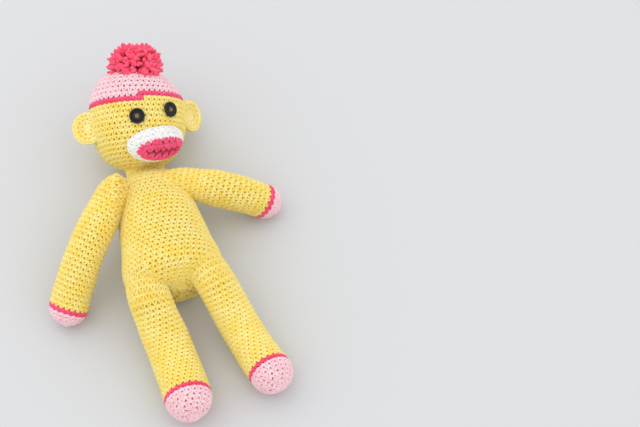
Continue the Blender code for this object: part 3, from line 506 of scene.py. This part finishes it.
# Three marks along a limb's line: where the sewn end's bend would start, where the sleeve takes over, and where
# the bend would be done; only the middle one splits the pieces.
ARM_BEND, LEG_BEND = (-0.020, 0.008, 0.028), (-0.024, -0.010, 0.012)
ARM_ROUND, LEG_ROUND = 0.0045, 0.0043

# The same worsted in a milky pink with a painted rosy shade where it tucks, and in a hot pink with a painted red
# shade where it tucks.
PALE_PINK = acrylic_yarn("pale_pink_acrylic_yarn", "#FFDCDF", "#FFCFD4", "#F8A2B2")
HOT_PINK = acrylic_yarn("hot_pink_acrylic_yarn", "#FF5E86", "#F94A74", "#D81C48")


def point_along(marks, points, at):
    """The point of a bent line at a mark, or at many."""
    return np.stack([np.interp(at, marks, points[:, axis]) for axis in range(3)], -1)


def limb_form(root, sign, reach, radii, headings, slopes, tuck, phase, seam=None):
    """A limb from its tip to its sewn end, which runs on into the body past the root's centre."""
    root_radius, middle_radius, end_radius = radii
    tuck_length, tuck_heading, tuck_slope, tuck_radius = tuck
    length = reach - end_radius
    start = root_radius / length / 2

    def direction(along):
        bend, turned = ease((along / length - start) / (1 - start)), ease(-along / tuck_length)
        heading = headings[0] + (headings[1] - headings[0]) * bend + (tuck_heading - headings[0]) * turned
        slope = slopes[0] + (slopes[1] - slopes[0]) * bend + (tuck_slope - slopes[0]) * turned
        return np.stack([sign * np.sin(heading) * np.cos(slope), -np.cos(heading) * np.cos(slope),
                         np.sin(slope)], -1)

    marks = np.linspace(-tuck_length, length, 2 * PATH_STEPS + 1)
    run = direction((marks[1:] + marks[:-1]) / 2) * (marks[1] - marks[0])
    centres = np.concatenate([np.zeros((1, 3)), np.cumsum(run, 0)])
    centres += root - point_along(marks, centres, 0)
    ways = direction(marks)

    def place(along, out, turn):
        held = np.clip(along, -tuck_length, length)
        ahead = unit(point_along(marks, ways, held))
        centre = point_along(marks, centres, held) + ahead * (along - held)[..., None]
        across = unit(np.cross(ahead, [0, 0, 1.0]))
        over = np.cross(across, ahead)
        points = centre + across * (out * np.cos(turn))[..., None] + over * (out * np.sin(turn))[..., None]
        if seam is not None:
            beyond = np.maximum(points @ SEAM_ACROSS - seam, 0)
            pull = SEAM_STEEPNESS * beyond ** 2 / (beyond + SEAM_ROUNDING)
            points[..., 2] -= SEAM_DEPTH * (1 - np.exp(-pull / SEAM_DEPTH))
        return points

    quarter = np.linspace(0, pi / 2, 16)
    side = np.linspace(length, 0, 40)[1:]
    swell = ease(side / (length * SHOULDER_SHARE))
    later = ease((side - length * SHOULDER_SHARE) / (length * (1 - SHOULDER_SHARE)))
    side_out = np.where(side < length * SHOULDER_SHARE, root_radius + (middle_radius - root_radius) * swell,
                        middle_radius + (end_radius - middle_radius) * later)
    inward = np.linspace(0, tuck_length, 12)[1:]
    inward_out = root_radius + (tuck_radius - root_radius) * ease(inward / tuck_length)
    return Form(place, np.concatenate([length + end_radius * np.cos(quarter), side, -inward]),
                np.concatenate([end_radius * np.sin(quarter), side_out, inward_out]), lumps(LUMP, phase))


def limb_pieces(name, end_name, joint, form, pivot, reach, band, height, bend):
    """The pieces of a limb, told apart by how far up from the tip a stitch is.

    The sewn end and the sleeve are baked in place where they lie, and are not hung on a body.
    """
    sewn_start, split, sleeve_done = bend
    climb_at = lambda along: float(np.interp(-along, -form.along, form.climb))
    stitches, tall = rounds_of(form, height=height, phase=pi)
    low = max(round(climb_at(reach - band[0]) / tall), 1) * tall
    high = low + max(round(band[1] / tall), 1) * tall
    sewn = round(climb_at(split) / tall) * tall
    climbs = stitches[:, 0] + tall * 0.02
    shown = depth_in_torso(stitch_middles(form, stitches, tall)) < SEWN_HIDDEN_DEPTH
    ahead = unit(form.place(np.array([0.001]), np.zeros(1), np.zeros(1))[0] - form.place(*np.zeros((3, 1)))[0])
    on_axis = lambda along: pivot + ahead * along
    sleeve_bend = (joint, name, on_axis(split), on_axis(sleeve_done))
    sewn_bend = ("torso", joint, on_axis(sewn_start), on_axis(split))
    for piece, material, slot, first, last, bends in (
            (end_name, PALE_PINK, "pale_pink_yarn", -1.0, low, None),
            (f"{name}_band", HOT_PINK, "hot_pink_yarn", low, high, None),
            (f"{name}_sleeve", YELLOW, "yellow_yarn", high, sewn, sleeve_bend),
            (f"{name}_sewn_end", YELLOW, "yellow_yarn", sewn, 1.0, sewn_bend)):
        parts = crochet(form, stitches[(climbs >= first) & (climbs < last) & shown], tall)
        nodes, depth = ([], SEWN_LINING_DEPTH) if bends is sewn_bend else ([piece], LINING_DEPTH)
        parts += lining(form, max(first, 0.0), min(last, form.length), 40, depth)
        finish_piece(f"{piece}_crochet", parts, material, name, nodes, bends)
    fibrefill(f"{name}_fibrefill", form, 0.004, climb_at(WAD_REACH + 0.002), 0.0055, name, [f"{name}_stuffing"],
              sleeve_bend)
    fibrefill(f"{name}_root_fibrefill", form, climb_at(WAD_REACH), climb_at(-WAD_REACH), 0.0065, joint,
              [f"{name}_root_wad"], sewn_bend if split > 0 else sleeve_bend)


ARMS = {  # pivot and root's shift from it, reach, radii, headings, slopes, and the sewn end's own
    "right": ([-0.041125, -0.012730, 0.058899], [0.0020, -0.0028, 0.0], 0.1205, (0.0158, 0.0173, 0.0173),
              (41.7, 34.5), (-13.358, -36.0), (0.034, 87.0, 46.0, 0.0110), (0.0135, 0.0050)),
    "left": ([0.044414, -0.007359, 0.043578], [-0.0048, -0.0029, 0.0], 0.0862, (0.0149, 0.0168, 0.0163),
             (69.3, 75.6), (-13.329, -36.0), (0.032, 84.0, 14.0, 0.0120), (0.0155, 0.0050)),
}
LEGS = {
    "right": ([-0.026494, -0.129478, 0.041636], [0.0016, 0.0020, 0.0], 0.1063, (0.0192, 0.0206, 0.0207),
              (-10.3, -3.0), (-31.550, 10.0), (0.034, 10.0, 14.0, 0.0180), (0.0200, 0.0050)),
    "left": ([0.034545, -0.125762, 0.041601], [0.0018, 0.0008, 0.0], 0.1058, (0.0176, 0.0179, 0.0193),
             (17.4, 17.1), (-33.201, 8.0), (0.034, 24.0, 8.0, 0.0180), (0.0200, 0.0050)),
}

phase = 0.9
for table, limb, end, joint, bend, height in ((ARMS, "arm", "hand", "shoulder", ARM_BEND, ARM_ROUND),
                                              (LEGS, "leg", "foot", "hip", LEG_BEND, LEG_ROUND)):
    for side, sign in (("right", -1), ("left", 1)):
        pivot, shift, reach, radii, headings, slopes, tuck, band = table[side]
        pivot = DOLL_PLACE + pivot
        tuck = (tuck[0], radians(tuck[1]), radians(tuck[2]), tuck[3])
        form = limb_form(pivot + shift, sign, reach, radii, np.radians(headings), np.radians(slopes),
                         tuck, phase, RIGHT_ARM_SEAM if (side, limb) == ("right", "arm") else None)
        limb_pieces(f"{side}_{limb}", f"{side}_{end}", f"{side}_{joint}", form, pivot, reach, band, height,
                    bend)
        phase += 1.3

# Head and hat: one stuffed ball worked from the chin up, in yellow to the brow, a little over one
# round of hot pink for the hat's band, and pale pink for its crown, drawn closed at the top.
HEAD_STITCH, CHIN_TURN = 0.0055, radians(70)       # the stitch's width, and where the first one sits
HAT_BAND_START, HAT_BAND_ROUNDS = 17.615, 1.03   # rounds up from the chin, and how many: it overlaps in front
HAT_SWELL, HAT_SWELL_TURN = 0.0042, radians(165)   # the crown's fuller side, to the doll's right
NECK_WAD_RADIUS = 0.0105


def head_place(along, out, turn):
    return (HEAD_CENTRE + np.multiply.outer(along, HEAD_UP) + np.multiply.outer(out * np.cos(turn), HEAD_RIGHT)
            + np.multiply.outer(out * np.sin(turn), HEAD_FRONT))


def head_form():
    quarter = np.linspace(0, pi / 2, 50)
    chin_along = -CHIN_DEPTH * np.cos(quarter) ** (2 / CHIN_FULLNESS)
    chin_out = HEAD_RADIUS * np.sin(quarter) ** (2 / CHIN_FULLNESS)
    crown_along = CROWN_HEIGHT * np.sin(quarter) ** (2 / CROWN_FULLNESS)
    crown_out = HEAD_RADIUS * np.cos(quarter) ** (2 / CROWN_FULLNESS)
    form = Form(head_place, np.concatenate([chin_along, crown_along[1:]]),
                np.concatenate([chin_out, np.maximum(crown_out[1:], 0)]))
    uneven = lumps(LUMP, 2.2)
    fullest = form.length * 0.80

    def swell(climb, turn):
        near = (np.exp(-((climb - fullest) / 0.020) ** 2)
                * (0.5 + 0.5 * np.cos(turn * form.spin - HAT_SWELL_TURN)))
        return uneven(climb, turn) + HAT_SWELL * near

    form.swell = swell
    return form


head = head_form()
stitches, tall = rounds_of(head, width=HEAD_STITCH, phase=CHIN_TURN)
outside = depth_in_torso(stitch_middles(head, stitches, tall)) < HIDDEN_DEPTH
brow = HAT_BAND_START * tall
hat_edge = brow + HAT_BAND_ROUNDS * tall
climbs = stitches[:, 0]
for piece, material, slot, first, last in (
        ("head_skin", YELLOW, "yellow_yarn", -1.0, brow),
        ("hat_band", HOT_PINK, "hot_pink_yarn", brow, hat_edge),
        ("hat_crown", PALE_PINK, "pale_pink_yarn", hat_edge, 1.0)):
    parts = crochet(head, stitches[(climbs >= first) & (climbs < last) & outside], tall)
    parts += lining(head, max(first, 0.0), min(last, head.length))
    finish_piece(f"{piece}_crochet", parts, material, "head", [piece])
fibrefill("head_fibrefill", head, 0.006, head.length, 0.0055, "head", ["head_stuffing"])
neck_wad = Form(torso_place, np.linspace(-0.012, 0.004, 12),
                NECK_WAD_RADIUS * np.sin(np.linspace(0.05, pi - 0.05, 12)))
fibrefill("neck_fibrefill", neck_wad, 0.0, neck_wad.length, 0.0, "neck", ["neck_wad"])

# Ears: two cups of finer yellow crochet, worked flat from the middle of the back and turned in
# at the rim, sewn to the head by their edge with the hollow to the front.
FACE_TURN, EAR_TURN, EAR_OPEN = radians(20.0), radians(92.0), radians(32.0)
EAR_RADIUS, EAR_DEPTH = 0.0155, 0.0085
EAR_PROFILE = [(0.00, 0.02), (0.05, 0.40), (0.24, 0.74), (0.56, 0.95), (0.84, 0.97), (0.98, 0.84),
               (0.90, 0.64), (0.74, 0.36), (0.70, 0.02)]
EAR_YARN, EAR_STITCH, EAR_ROUND = 0.00088, 0.0043, 0.0037
EAR_LINING_DEPTH, EAR_HIDDEN_DEPTH = 0.0012, 0.003

# A finer yarn of the same fibre, worked tighter, so its holes are small and it looks paler, with a painted golden
# shade where its strands tuck under.
EAR_YELLOW = acrylic_yarn("fine_yellow_yarn", "#FFF0A2", "#FFE67E", "#F5C418")


def toward(turn, rise):
    """A direction from the head's centre: round from the face, and up."""
    return (HEAD_FRONT * cos(turn) + HEAD_RIGHT * sin(turn)) * cos(rise) + HEAD_UP * sin(rise)


for side, sign, stand, ear_rise in (("right", -1, 0.0025, -0.0068), ("left", 1, 0.0062, 0.0030)):
    outward = toward(FACE_TURN + sign * EAR_TURN, 0)
    ear_axis = unit(toward(FACE_TURN, 0) * cos(EAR_OPEN) + outward * sin(EAR_OPEN))
    ear_across = unit(np.cross(HEAD_UP, ear_axis))
    ear_middle = HEAD_CENTRE + outward * (HEAD_RADIUS + stand) + HEAD_UP * ear_rise - ear_axis * EAR_DEPTH / 2

    def ear_place(along, out, turn):
        return (ear_middle + np.multiply.outer(along, ear_axis)
                + np.multiply.outer(out * np.cos(turn), ear_across)
                + np.multiply.outer(out * np.sin(turn), HEAD_UP))

    deep, out = eased_points(np.array([EAR_PROFILE]), 50)[0].T
    ear = Form(ear_place, deep * EAR_DEPTH, np.maximum(out, 0) * EAR_RADIUS, lumps(0.0003, 3.0 + sign))
    stitches, tall = rounds_of(ear, width=EAR_STITCH, height=EAR_ROUND, phase=1.0 + sign)
    outside = depth_in_head(stitch_middles(ear, stitches, tall)) < EAR_HIDDEN_DEPTH
    parts = crochet(ear, stitches[outside], tall, EAR_YARN, 0.75)
    parts += lining(ear, around=48, depth=EAR_LINING_DEPTH)
    finish_piece(f"{side}_ear_crochet", parts, EAR_YELLOW, "head", [f"{side}_ear"])

# Muzzle and lips: an oval of white crochet worked in rounds about a chain, sewn to the face over
# a pad of fibrefill, and on it two rounds of hot pink about a chain of their own for the lips.
MUZZLE_HEIGHT, MUZZLE_FULLNESS = 0.0078, 3.4
LIPS_HEIGHT, MOUTH_GROOVE = 0.0030, 0.0012
OVAL_STITCH, OVAL_ROUND = 0.0050, 0.0048
MUZZLE_YARN, LIPS_YARN, LIPS_EDGE_YARN = 0.00138, 0.00140, 0.00135

# Unbleached white, worked tight: nearly no holes, and a faint painted grey shade where its strands tuck under. The
# lips' hot pink takes a painted dark red shade in its holes.
WHITE = acrylic_yarn("white_acrylic_yarn", "#FCFBF8", "#F8F6F2", "#EFEBE4")
LIP_PINK = acrylic_yarn("lip_pink_yarn", "#FF6088", "#F75078", "#B42A4A")


class Oval(Form):
    """An oval worked in rounds about a chain and laid over the face, climbed from its chain."""

    def __init__(self, turn, rise, tilt, half_width, half_height, chain, rise_of, lift=None):
        self.middle = toward(turn, rise)
        east = unit(np.cross(HEAD_UP, self.middle))
        north = np.cross(self.middle, east)
        self.wide, self.tall = east * cos(tilt) + north * sin(tilt), north * cos(tilt) - east * sin(tilt)
        self.half_width, self.half_height, self.chain = half_width, half_height, chain
        self.rise_of, self.lift, self.swell, self.spin = rise_of, lift, None, 1
        self.share = np.sin(np.linspace(0, pi / 2, 60))
        self.rise = rise_of(self.share)
        steps = np.hypot(np.diff(self.share) * half_height, np.diff(self.rise))
        self.climb = np.concatenate([[0], np.cumsum(steps)])
        self.length = self.climb[-1]
        widening = np.gradient(self.share * half_height, self.climb)
        rising = np.gradient(self.rise, self.climb)
        self.normal_share, self.normal_rise = -rising, widening
        self.angles = np.linspace(0, tau, 361)
        run = self.outline_run(0.75)
        self.turns = run / run[-1] * tau
        self.out = np.array([self.outline_run(share)[-1] for share in self.share]) / tau
        self.spin = 1 if self.leans_right() else -1

    def across(self, angle, share):
        return np.cos(angle) * (self.chain + (self.half_width - self.chain) * share)

    def outline_run(self, share):
        """How far round its outline each angle lies, at a share of the way out."""
        outline = np.stack([self.across(self.angles, share),
                            self.half_height * share * np.sin(self.angles)], -1)
        return np.concatenate([[0], np.cumsum(np.linalg.norm(np.diff(outline, axis=0), axis=1))])

    def at(self, climb, turn, height=0.0):
        share, rise, sideways, upward = (np.interp(climb, self.climb, values) for values in
                                         (self.share, self.rise, self.normal_share, self.normal_rise))
        angle = np.interp(np.mod(np.multiply(turn, self.spin), tau), self.turns, self.angles)
        flat = (np.multiply.outer(self.across(angle, share), self.wide)
                + np.multiply.outer(np.sin(angle) * self.half_height * share, self.tall))
        far = np.linalg.norm(flat, axis=-1, keepdims=True) + 1e-12
        direction = self.middle * np.cos(far / HEAD_RADIUS) + flat / far * np.sin(far / HEAD_RADIUS)
        outward = unit(np.multiply.outer(np.cos(angle) * self.half_height, self.wide)
                       + np.multiply.outer(np.sin(angle) * self.half_width, self.tall))
        reach = head_reach(direction) + rise + (self.lift(direction) if self.lift else 0.0)
        return (HEAD_CENTRE + direction * (reach + height * upward)[..., None]
                + outward * (height * sideways)[..., None])

    def share_at(self, direction):
        """How far out a direction from the head's centre lies on the oval: 1 at its edge."""
        bend = np.arccos(np.clip(direction @ self.middle, -1, 1)) * HEAD_RADIUS
        aside = unit(direction - (direction @ self.middle)[..., None] * self.middle)
        return np.hypot(aside @ self.wide * bend / self.half_width,
                        aside @ self.tall * bend / self.half_height)


def muzzle_rise(share):
    return 0.0004 + MUZZLE_HEIGHT * np.sqrt(np.maximum(1 - np.minimum(share, 1) ** MUZZLE_FULLNESS, 0))


def lips_rise(share):
    full = np.sqrt(np.maximum(1 - share ** 5, 0))
    return LIPS_HEIGHT * full - MOUTH_GROOVE * np.exp(-(share / 0.15) ** 2)


muzzle = Oval(radians(29.0), radians(-37.5), radians(12.0), 0.0258, 0.0148, 0.0110, muzzle_rise)
lips = Oval(radians(31.6), radians(-39.2), radians(12.0), 0.0192, 0.0086, 0.0135, lips_rise,
            lambda direction: muzzle_rise(muzzle.share_at(direction)))
stitches, tall = rounds_of(muzzle, width=OVAL_STITCH, height=OVAL_ROUND, first=10)
beside_lips = lips.share_at(unit(stitch_middles(muzzle, stitches, tall) - HEAD_CENTRE)) >= 0.72
parts = crochet(muzzle, stitches[beside_lips], tall, MUZZLE_YARN, 0.36) + lining(muzzle, depth=0.0003)
finish_piece("muzzle_crochet", parts, WHITE, "head", ["muzzle"])
fibrefill("muzzle_fibrefill", muzzle, 0.0, muzzle.length * 0.8, 0.0030, "head", ["muzzle_stuffing"])
stitches, tall = rounds_of(lips, width=OVAL_STITCH, height=OVAL_ROUND, first=10)
inner = stitches[:, 0] < tall * 0.98
parts = crochet(lips, stitches[inner], tall, LIPS_YARN, 0.6)
parts += crochet(lips, stitches[~inner], tall, LIPS_EDGE_YARN, 0.6, PETAL) + lining(lips, depth=0.0011)
finish_piece("lips_crochet", parts, LIP_PINK, "head", ["lips"])

# Eyes: four-hole buttons turned in black plastic, with a raised rim and a dished face, each held
# by a few crossed turns of tan sewing thread.
EYES = {"right": (radians(3.1), radians(-5.3)), "left": (radians(44.6), radians(2.2))}
BUTTON_RADIUS, BUTTON_HEIGHT, BUTTON_SEAT = 0.0072, 0.0028, 0.0004
BUTTON_PROFILE = [(0.00, 0.82), (0.05, 0.91), (0.20, 0.98), (0.42, 1.00), (0.68, 0.995), (0.88, 0.96),
                  (0.98, 0.89), (1.00, 0.82), (0.95, 0.75), (0.78, 0.68), (0.60, 0.64), (0.52, 0.58), (0.50, 0.50)]
HOLE_RADIUS, HOLE_SPACING, THREAD_RADIUS = 0.0009, 0.0026, 0.00032
THREAD_TWIST = 3000.0       # radians a metre

# Polished black button plastic: glossy, nearly black, with small soft highlights on the rim.
BLACK_PLASTIC = new_material("black_button_plastic")
shader = add(BLACK_PLASTIC, "ShaderNodeBsdfPrincipled", {"Base Color": colour("#08080A"), "Roughness": 0.28,
                                                          "Specular IOR Level": 0.35})
add(BLACK_PLASTIC, "ShaderNodeOutputMaterial", {}, {"Surface": shader.outputs["BSDF"]})
# Spun cotton: matt tan with dark gaps between its turns.
TAN_THREAD = acrylic_yarn("tan_cotton_thread", "#A98A5E", "#8F7148", "#5E4626")


def turned(place, profile, sides):
    """A solid turned from (along, out) pairs, closed flat at both ends."""
    along, out = np.array(profile).T
    turns = tau * np.arange(sides) / sides
    corners = place(np.repeat(along, sides), np.repeat(out, sides), np.tile(turns, len(along))).reshape(-1, 3)
    return corners, 0.0, wall_faces(len(along), sides), end_faces(len(along), sides)


for side, (eye_turn, eye_rise) in EYES.items():
    ways = [toward(eye_turn + step, eye_rise + lift) for step, lift in ((0, 0), (0.01, 0), (0, 0.01))]
    surface = [HEAD_CENTRE + way * head_reach(way) for way in ways]
    normal = unit(np.cross(surface[1] - surface[0], surface[2] - surface[0]))
    eye_across = unit(HEAD_RIGHT - normal * (HEAD_RIGHT @ normal))
    eye_over = np.cross(normal, eye_across)
    seat = surface[0] + normal * BUTTON_SEAT

    def eye_place(along, out, turn, aside=(0.0, 0.0)):
        return (seat + np.multiply.outer(along, normal)
                + np.multiply.outer(out * np.cos(turn) + aside[0], eye_across)
                + np.multiply.outer(out * np.sin(turn) + aside[1], eye_over))

    profile = [(BUTTON_HEIGHT * high, BUTTON_RADIUS * out) for high, out in BUTTON_PROFILE]
    button = new_object(f"{side}_button", make_mesh(f"{side}_button", [turned(eye_place, profile, 64)]))
    half_gap = HOLE_SPACING / 2
    for step, aside in enumerate(((half_gap, half_gap), (-half_gap, half_gap), (-half_gap, -half_gap),
                                  (half_gap, -half_gap))):
        drill = turned(lambda along, out, turn: eye_place(along, out, turn, aside),
                       [(-0.002, HOLE_RADIUS), (0.005, HOLE_RADIUS)], 20)
        drill_bit = new_object("drill", make_mesh("drill", [drill]))
        cut = button.modifiers.new("hole", "BOOLEAN")
        cut.operation, cut.solver, cut.object = "DIFFERENCE", "EXACT", drill_bit
        bpy.context.view_layer.update()
        holed = bpy.data.meshes.new_from_object(button.evaluated_get(bpy.context.evaluated_depsgraph_get()))
        button.modifiers.clear()
        button.data = holed
        bpy.data.objects.remove(drill_bit)
    button.data.materials.append(BLACK_PLASTIC)
    button.data.set_sharp_from_angle(angle=radians(35))
    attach(button, "head")
    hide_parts(f"{side}_eye_button")

    face = BUTTON_HEIGHT * 0.50
    loops = []
    for crossing, (x, y) in enumerate(((1, 1), (1, -1))):
        for strand in (-1, 0, 1):
            shift = strand * THREAD_RADIUS * 1.7
            tip = face + THREAD_RADIUS * (1.2 + 1.6 * crossing)
            ways = [(-half_gap * x, -half_gap * y, -0.0006), (-half_gap * x, -half_gap * y, face * 0.9),
                    (-half_gap * 0.8 * x, -half_gap * 0.8 * y, tip), (0, 0, tip + THREAD_RADIUS),
                    (half_gap * 0.8 * x, half_gap * 0.8 * y, tip), (half_gap * x, half_gap * y, face * 0.9),
                    (half_gap * x, half_gap * y, -0.0006)]
            loops.append([eye_place(high, 0.0, 0.0, (a - shift * y, b + shift * x)) for a, b, high in ways])
    line = eased_points(np.array(loops), 26)
    reference = np.broadcast_to(eye_over * 0.7 + eye_across * 0.71, line.shape)
    finish_piece(f"{side}_thread", [yarn_tubes(line, reference, THREAD_RADIUS, twist=THREAD_TWIST)],
                 TAN_THREAD, "head", [f"{side}_eye_thread"])

# Pompom: hundreds of cut ends of hot pink yarn in two bunches, drawn in at the waist by a turn
# of the same yarn, which also ties it down on the crown of the hat.
POMPOM_RADIUS, BUNCH_REACH, POMPOM_LIFT, POMPOM_SIDE, POMPOM_FORWARD = 0.0196, 0.0052, 0.0038, 0.0030, 0.0166
POMPOM_ENDS, POMPOM_YARN, END_SIDES, END_STEPS = 320, 0.00158, 5, 9
WAIST_SHARE = -0.45         # no ends point further back to the tie than this
TIE_RADIUS, TIE_LOOP, TIE_WIDTH = 0.0012, 0.0045, 0.0008
HAT_CLEARANCE = 0.0012

# The hot pink worsted, cut, with a painted red shade that is deepest in the middle of the bunch and fades out
# toward the tips of the ends.
POMPOM_PINK = acrylic_yarn("pompom_pink_yarn", "#FF6484", "#FA4C70", "#EE2248")

chance = np.random.default_rng(11)
pompom_middle = (HEAD_CENTRE + HEAD_UP * (CROWN_HEIGHT + POMPOM_LIFT) + HEAD_RIGHT * POMPOM_SIDE
                 + HEAD_FRONT * POMPOM_FORWARD)


def clear_of_hat(points):
    """Ends that would run into the hat lie down along it."""
    away = points - HEAD_CENTRE
    far = np.linalg.norm(away, axis=-1, keepdims=True)
    return HEAD_CENTRE + away / far * np.maximum(far, head_reach(away / far)[..., None] + HAT_CLEARANCE)


parts = []
for side in (-1, 1):
    count = np.arange(POMPOM_ENDS) + 0.5
    rise = 1 - 2 * count / POMPOM_ENDS
    round_it = pi * (1 + sqrt(5)) * count
    flat = np.sqrt(1 - rise ** 2)
    ways = (rise[:, None] * HEAD_RIGHT * side + (flat * np.cos(round_it))[:, None] * HEAD_UP
            + (flat * np.sin(round_it))[:, None] * HEAD_FRONT)
    ways = ways[rise > WAIST_SHARE]
    ways = unit(ways + chance.normal(0, 0.10, ways.shape))
    start = pompom_middle + HEAD_RIGHT * side * 0.002
    bunch = pompom_middle + HEAD_RIGHT * side * BUNCH_REACH
    reach = POMPOM_RADIUS * (0.97 + chance.normal(0, 0.08, (len(ways), 1)))
    tips = bunch + ways * reach
    bend = unit(np.cross(ways, chance.normal(0, 1, ways.shape))) * POMPOM_RADIUS
    lines = np.stack([start + (tips - start) * share + bend * curl for share, curl in
                      ((0.30, 0.0), (0.55, 0.08), (0.78, 0.04), (1.0, -0.10))], 1)
    line = clear_of_hat(eased_points(lines, END_STEPS))
    # Painted shade: each end takes the deep red colour near the middle of the bunch, fading to none toward its
    # tip.
    parts.append(yarn_tubes(line, np.broadcast_to(bend[:, None], line.shape), POMPOM_YARN, END_SIDES,
                            taper=[0.5, 0.7, 0.85, 1.0, 1.1, 1.15, 1.2, 1.1, 0.6],
                            tuck=np.clip(1.15 - np.linspace(0, 1, END_STEPS) * 1.5, 0, 1)))
finish_piece("pompom_yarn_ends", parts, POMPOM_PINK, "head", ["pompom"])

turn = np.linspace(0, tau * 2, 60)
ring = (pompom_middle + np.multiply.outer(TIE_LOOP * np.cos(turn), HEAD_UP)
        + np.multiply.outer(TIE_LOOP * np.sin(turn), HEAD_FRONT)
        + np.multiply.outer(np.linspace(-TIE_WIDTH, TIE_WIDTH, 60), HEAD_RIGHT))[None]
finish_piece("pompom_tie_yarn", [yarn_tubes(ring, np.broadcast_to(HEAD_RIGHT, ring.shape), TIE_RADIUS)],
             HOT_PINK, "head", ["pompom_tie"])

# Studio: a plain pale floor and backdrop, and broad soft lamps, seen from the photograph's side.
CAMERA_PLACE, CAMERA_AIM = Vector((-0.05964, -0.73044, 1.3067)), Vector((0.14546, -0.01524, 0.018))
CAMERA_LENS = 90.0
FLOOR_REACH, SKY_STRENGTH, LAMP_SIZE = 6.0, 1.21, 1.6


def plain_stage(name, hex_value):
    """Matt painted board: even and pale, it only takes the doll's soft shadow."""
    material = new_material(name)
    shader = add(material, "ShaderNodeBsdfPrincipled", {"Base Color": colour(hex_value), "Roughness": 0.9,
                                                         "Specular IOR Level": 0.1})
    add(material, "ShaderNodeOutputMaterial", {}, {"Surface": shader.outputs["BSDF"]})
    return material


floor_mesh = bpy.data.meshes.new("floor")
floor_mesh.from_pydata([(x * FLOOR_REACH, y * FLOOR_REACH, 0) for x, y in ((-1, -1), (1, -1), (1, 1), (-1, 1))],
                       [], [(0, 1, 2, 3)])
floor_mesh.materials.append(plain_stage("pale_board", "#CFCFCE"))
new_object("floor", floor_mesh)

world = bpy.data.worlds.new("studio")
bpy.context.scene.world = world
world.use_nodes = True
world.node_tree.nodes["Background"].inputs["Color"].default_value = colour("#F4F6FA")
world.node_tree.nodes["Background"].inputs["Strength"].default_value = SKY_STRENGTH

for name, place, power in (("key_lamp", (-0.60, 0.40, 1.1), 2.7), ("fill_lamp", (1.2, -0.4, 1.4), 1.7)):
    light = bpy.data.lights.new(name, "AREA")
    light.shape, light.size, light.energy = "DISK", LAMP_SIZE, power
    lamp = new_object(name, light)
    lamp.location = place
    lamp.rotation_euler = (-Vector(place)).to_track_quat("-Z", "Y").to_euler()

camera_data = bpy.data.cameras.new("camera")
camera_data.lens = CAMERA_LENS
camera = new_object("camera", camera_data)
camera.location = CAMERA_PLACE
camera.rotation_euler = (CAMERA_AIM - CAMERA_PLACE).to_track_quat("-Z", "Y").to_euler()
bpy.context.scene.camera = camera
bpy.context.scene.view_settings.view_transform = "Standard"
